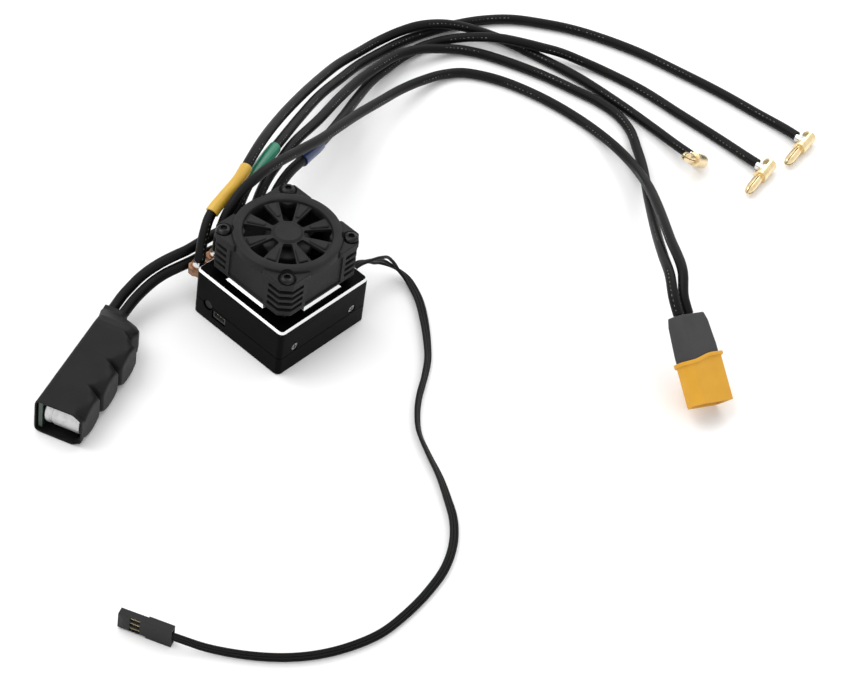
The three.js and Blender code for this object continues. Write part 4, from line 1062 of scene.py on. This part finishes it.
def even_steps(outline, count):
    """The same closed outline, walked in equal steps."""
    loop = np.concatenate([outline, outline[:1]])
    run = np.concatenate([[0], np.cumsum(np.linalg.norm(np.diff(loop, axis=0), axis=1))])
    at = np.linspace(0, run[-1], count, endpoint=False)
    return np.stack([np.interp(at, run, loop[:, 0]), np.interp(at, run, loop[:, 1])], 1)


def plug_rings(name, rings, finish, count=220):
    """A skin through (a, b, bevel, corner radius, height, wave) rings of the plug's section. Across the width
    the height gains the wave times the sine of a slow S."""
    rows = []
    for a, b, bevel, radius, height, wave in rings:
        flat = even_steps(rounded(plug_outline(a, b, bevel), radius, 6), count)
        shift = wave * -np.sin(np.clip((flat[:, 0] + 1.0) / 5.0, -1, 1) * np.pi / 2)
        rows.append(np.column_stack([flat, height + shift]))
    return grid(name, np.stack(rows), finish)


WAVE = 0.8
shell = plug_rings("plug_yellow_shell", [
    (6.9, 2.9, 2.1, 0.3, -13.0, 0), (6.9, 2.9, 2.1, 0.3, -0.3, 0), (7.05, 3.05, 2.2, 0.4, 0.0, 0),
    (7.85, 3.85, 2.5, 0.5, 0.0, 0), (8.0, 4.0, 2.6, 0.5, -0.2, 0), (8.0, 4.0, 2.6, 0.5, -13.6, WAVE),
    (8.1, 4.1, 2.6, 0.5, -14.1, WAVE), (8.5, 4.5, 2.8, 0.6, -14.2, WAVE), (8.6, 4.6, 2.8, 0.6, -14.4, WAVE),
    (8.6, 4.6, 2.8, 0.6, -15.2, WAVE), (8.45, 4.45, 2.8, 0.6, -15.45, WAVE),
    (7.3, 3.8, 2.3, 0.5, -15.5, WAVE),
], PLUG_YELLOW)
cap = plug_rings("plug_grey_cap", [
    (5.6, 3.1, 1.9, 0.6, -29.8, 0), (5.9, 3.4, 2.1, 0.7, -29.85, 0), (6.1, 3.6, 2.2, 0.8, -29.5, 0),
    (6.3, 3.7, 2.25, 0.8, -28.6, 0), (6.7, 3.9, 2.35, 0.8, -27.0, 0), (7.1, 3.95, 2.4, 0.8, -22.0, 0),
    (7.4, 4.0, 2.4, 0.8, -18.0, WAVE), (7.4, 4.0, 2.4, 0.8, -15.3, WAVE),
], PLUG_GREY)
carve(cap, [turned("wire_hole", [(1.95, -31), (1.95, -25)], centre=(x, 0, 0), sides=32) for x in (-2.3, 2.3)])
for made, node, slot in ((shell, "plug_shell", "plug_yellow"), (cap, "plug_cap", "plug_grey")):
    placed(made, PLUG_NOSE, plug_wide, plug_deep)
    settled(made, node, slot)
pieces["plug_shell"], pieces["plug_cap"] = shell, cap
print("plug faces:", len(shell.data.polygons), len(cap.data.polygons))

# %% [markdown]
# ## Capacitor pack
# Three capacitors stand side by side on a strip of circuit board, and one wide heat-shrink tube holds them.
# On the board's side the tube is a flat-topped box. On the other side it is pulled over the round ends of
# the cans, so there it is only as high as each can at that point, and it is drawn in between them.

# %% Capacitor pack
PACK_ORIGIN, PACK_ALONG, PACK_ACROSS = (-56.1, 27.9, 0.0), (-0.9355, -0.353, 0.0), (0.353, -0.9355, 0.0)
CAN_RADIUS, CAN_PITCH, FIRST_CAN = 6.25, 12.6, 8.1
PACK_MIDDLE = 7.05
PACK_LENGTH = 40.4


def smooth(value, low, high):
    t = np.clip((value - low) / (high - low), 0, 1)
    return t * t * (3 - 2 * t)


def pack_surface(rows=260, columns=150):
    """The heat-shrink. Along it s runs from the wires to the open end. The far side stands at the can ends
    and dips by a Gauss curve in each gap. Across it is a squarish superellipse, whose half height goes from
    full on the board's side to the chord of the nearest can on the far side."""
    s = np.linspace(-11, PACK_LENGTH, rows)[:, None]
    t = np.linspace(0, 2 * np.pi, columns, endpoint=False)[None]
    near = np.interp(s, [-11, -7, -3, 0], [-1.9, -1.5, -0.2, 0.0])
    far = np.interp(s, [-11, -9.6, -8, -6, -4.2, -2.4, -0.6, 0.9, 2.0, 3.0],
                    [6.2, 6.5, 8.3, 12.2, 13.9, 14.4, 14.0, 13.6, 15.6, 16.55])
    half = np.interp(s, [-11, -9.0, -6, -3, 0, 2], [2.1, 2.4, 4.2, 5.9, 6.7, 6.9])
    gap = np.abs((s - FIRST_CAN + CAN_PITCH / 2) % CAN_PITCH - CAN_PITCH / 2)
    crease = np.exp(-((gap - CAN_PITCH / 2) / 0.75) ** 2) * smooth(s, 4, 9) * (1 - smooth(s, 36, 38.5))
    far = far - 1.9 * crease
    chord = np.sqrt(np.maximum((CAN_RADIUS + 0.55) ** 2 - gap**2, 0))
    chord = np.maximum(chord, 3.4 + 2.0 * smooth(s, 37, 40))
    chord = chord * smooth(s, -1, 3) + (half - 0.9) * (1 - smooth(s, -1, 3))
    sine, cosine = np.sin(t), np.cos(t)
    middle, reach = (near + far) / 2, (far - near) / 2
    across = middle + reach * np.sign(cosine) * np.abs(cosine) ** 0.22
    fall = smooth((across - near) / (far - near), 0.76, 0.99)
    height = half * (1 - fall) + np.minimum(chord, half) * fall
    up_down = np.sign(sine) * np.abs(sine) ** 0.22
    sag = 0.22 * np.sin(np.pi * smooth(across, 1, 13)) * smooth(s, 3, 8) * (sine > 0)
    z = PACK_MIDDLE + height * up_down - sag
    return np.stack([s + 0 * t, across, z], -1)


sleeve = grid("pack_heat_shrink", pack_surface(), PACK_SHRINK, caps=False)
sleeve.data.set_sharp_from_angle(angle=math.radians(75))
wall = sleeve.modifiers.new("wall", "SOLIDIFY")
wall.thickness, wall.offset = 0.5 * MM, -1
placed(sleeve, PACK_ORIGIN, PACK_ALONG, PACK_ACROSS)
settled(sleeve, "capacitor_sleeve", "shrink_black")
pieces["capacitor_sleeve"] = sleeve

can_profile = [(0, 2.8), (5.4, 2.8), (5.8, 2.95), (5.9, 3.3), (5.9, 4.2), (5.8, 4.5), (5.6, 4.75), (5.6, 5.2),
               (5.8, 5.45), (5.9, 5.8), (5.9, 14.4), (5.7, 14.75), (5.3, 14.9), (0, 14.9)]
for k in range(3):
    x = FIRST_CAN + k * CAN_PITCH
    can = turned(f"can_{k + 1}", can_profile, CAN, axis="y", sides=56, centre=(x, 0, PACK_MIDDLE))
    legs = joined(f"can_legs_{k + 1}", [
        turned("leg", [(0.3, 2.2), (0.3, 2.9)], SOLDER, axis="y", sides=16, centre=(x, 0, PACK_MIDDLE + z))
        for z in (-2.5, 2.5)])
    for made, slot in ((can, "capacitor_can"), (legs, "bright_steel")):
        placed(made, PACK_ORIGIN, PACK_ALONG, PACK_ACROSS)
        settled(made, f"capacitor_{k + 1}", slot)
        pieces[made.name] = made
print("pack:", len(sleeve.data.polygons), "faces")

# %% [markdown]
# ## Servo plug
# The lead ends in a flat three-way plug. It is one black moulding with a step, three small windows where
# the gold contacts snap in, and three square holes in its nose.

# %% Servo plug
SERVO_ORIGIN, SERVO_ALONG, SERVO_ACROSS = (-119.1, -76.5, 3.8), (-0.396, 0.918, 0.0), (0.0, 0.0, 1.0)
servo = block("servo_housing", (0, -3.7, -1.3), (8.2, 3.7, 1.3), DARK_PLASTIC)
nose = block("servo_nose", (7.5, -3.1, -1.3), (17.2, 3.1, 1.3), DARK_PLASTIC)
carve(servo, [nose], "UNION")
cutters = [block("rear_recess", (-1, -2.9, -0.9), (0.8, 2.9, 0.9))]
for y in (-2.2, 0.0, 2.2):
    cutters.append(block("window", (10.2, y - 0.75, -2.0), (13.4, y + 0.75, -0.4)))
    cutters.append(block("nose_hole", (11.0, y - 0.6, -0.6), (18.0, y + 0.6, 0.6)))
carve(servo, cutters)
soften(servo, 0.14, 2, 35)
spring = joined("servo_contacts", [block("contact", (9.6, y - 0.6, -0.75), (15.0, y + 0.6, 0.5), GOLD)
                                   for y in (-2.2, 0.0, 2.2)])
soften(spring, 0.06, 2, 35)
for made, slot in ((servo, "dark_plastic"), (spring, "gold_plate")):
    placed(made, SERVO_ORIGIN, SERVO_ALONG, SERVO_ACROSS)
    settled(made, "receiver_plug", slot)
    pieces[made.name] = made

# %% [markdown]
# ## The cords ride the case
# Each wire rides the case, because nothing here moves them, and stands for its solid. The pieces on each
# far end are listed and each wire's thickness is worked out, but nothing further uses them.


FAR_ENDS = {}
for colour, (wire, _, _) in SLEEVES.items():
    carried = [pieces[colour], pieces["bullet_plug_" + wire], pieces["solder_pool_" + wire]]
    FAR_ENDS[wire] = ("connector", carried)
FAR_ENDS["battery_plus"] = ("plug", [pieces["plug_shell"], pieces["plug_cap"], "plug_pin_plus"])
FAR_ENDS["battery_minus"] = ("plug", ["plug_pin_minus"])
FAR_ENDS["capacitor_plus"] = ("fitting", [pieces["capacitor_sleeve"], "capacitor_board"])
FAR_ENDS["capacitor_minus"] = ("fitting", [pieces[k] for k in ("can_1", "can_2", "can_3")])
FAR_ENDS["receiver_lead"] = ("plug", [pieces["servo_housing"], pieces["servo_contacts"]])
CORD_NODES = {"capacitor_plus": "capacitor_wire_plus", "capacitor_minus": "capacitor_wire_minus",
              "receiver_lead": "receiver_lead"}
for name, (far_end, carried) in FAR_ENDS.items():
    path, run = PATHS[name]
    across = 3 * STRAND if name == "receiver_lead" else WIRE
    settled(pieces[name], CORD_NODES.get(name, name + "_wire"), "black_silicone")
    across * MM

# %% [markdown]
# ## Finishes for the solids that stay
# Boards, chips, the fan's motor and a few other pieces keep the solid they came with, and only take a
# finish.

# %% Finishes of the solids that stay
STAYING = {
    "main_board": CIRCUIT, "power_board": CIRCUIT, "capacitor_board": CIRCUIT, "thermal_pad": GAP_PAD,
    "mosfet_phase_a": CHIP_BLACK, "mosfet_phase_b": CHIP_BLACK, "mosfet_phase_c": CHIP_BLACK,
    "microcontroller": CHIP_BLACK, "button_switch": CHIP_BLACK, "terminal_block": DARK_PLASTIC,
    "fan_bearing": COPPER, "fan_stator": COPPER, "fan_shaft": BRIGHT_STEEL, "lead_grommet": SOFT_RUBBER,
    "plug_pin_plus": GOLD, "plug_pin_minus": GOLD,
}
for node, finish in STAYING.items():
    solid = bpy.data.objects[node]
    solid.data.materials.clear()
    solid.data.materials.append(finish)
print("solids that stay:", len(STAYING))

# %% [markdown]
# ## Table, light and air
# The controller lies on a plain white sheet. A broad soft light from behind and above gives every wire one
# bright line along its top and puts soft shadows towards the viewer, and the white surroundings fill the
# rest.

# %% Table and lights
paper = Finish("white_paper", roughness=0.9)
paper.set("Specular IOR Level", 0.0)
paper.set("Base Color", paper.mix(paper.noise(3, 2), (0.94, 0.94, 0.94), (0.95, 0.95, 0.95)))
REACH = 6000.0
sheet = mesh_object("paper_sheet", [(-REACH, -REACH, -0.02), (REACH, -REACH, -0.02), (REACH, REACH, -0.02),
                                    (-REACH, REACH, -0.02)], [[0, 1, 2, 3]], paper.material)


def softbox(name, place, size, watts):
    """A square area light in millimetres that faces the case."""
    data = bpy.data.lights.new(name, "AREA")
    data.shape, data.size, data.energy = "SQUARE", size * MM, watts
    light = bpy.data.objects.new(name, data)
    place = np.array(place, float)
    aim = outward(place - np.array([60.0, -20.0, 0.0]))
    level = outward(np.cross([0, 0, 1.0], aim))
    turn = np.column_stack([level, np.cross(aim, level), aim, place * MM])
    light.matrix_world = Matrix([*turn.tolist(), [0, 0, 0, 1]])
    bpy.context.scene.collection.objects.link(light)


softbox("key", (-400, 800, 1400), 1200, 11)
softbox("fill", (900, 300, 900), 700, 3)
air = bpy.data.worlds.new("white_air")
air.use_nodes = True
air.node_tree.nodes["Background"].inputs["Color"].default_value = (1, 1, 1, 1)
air.node_tree.nodes["Background"].inputs["Strength"].default_value = 1.0
bpy.context.scene.world = air
bpy.context.scene.view_settings.view_transform = "Standard"
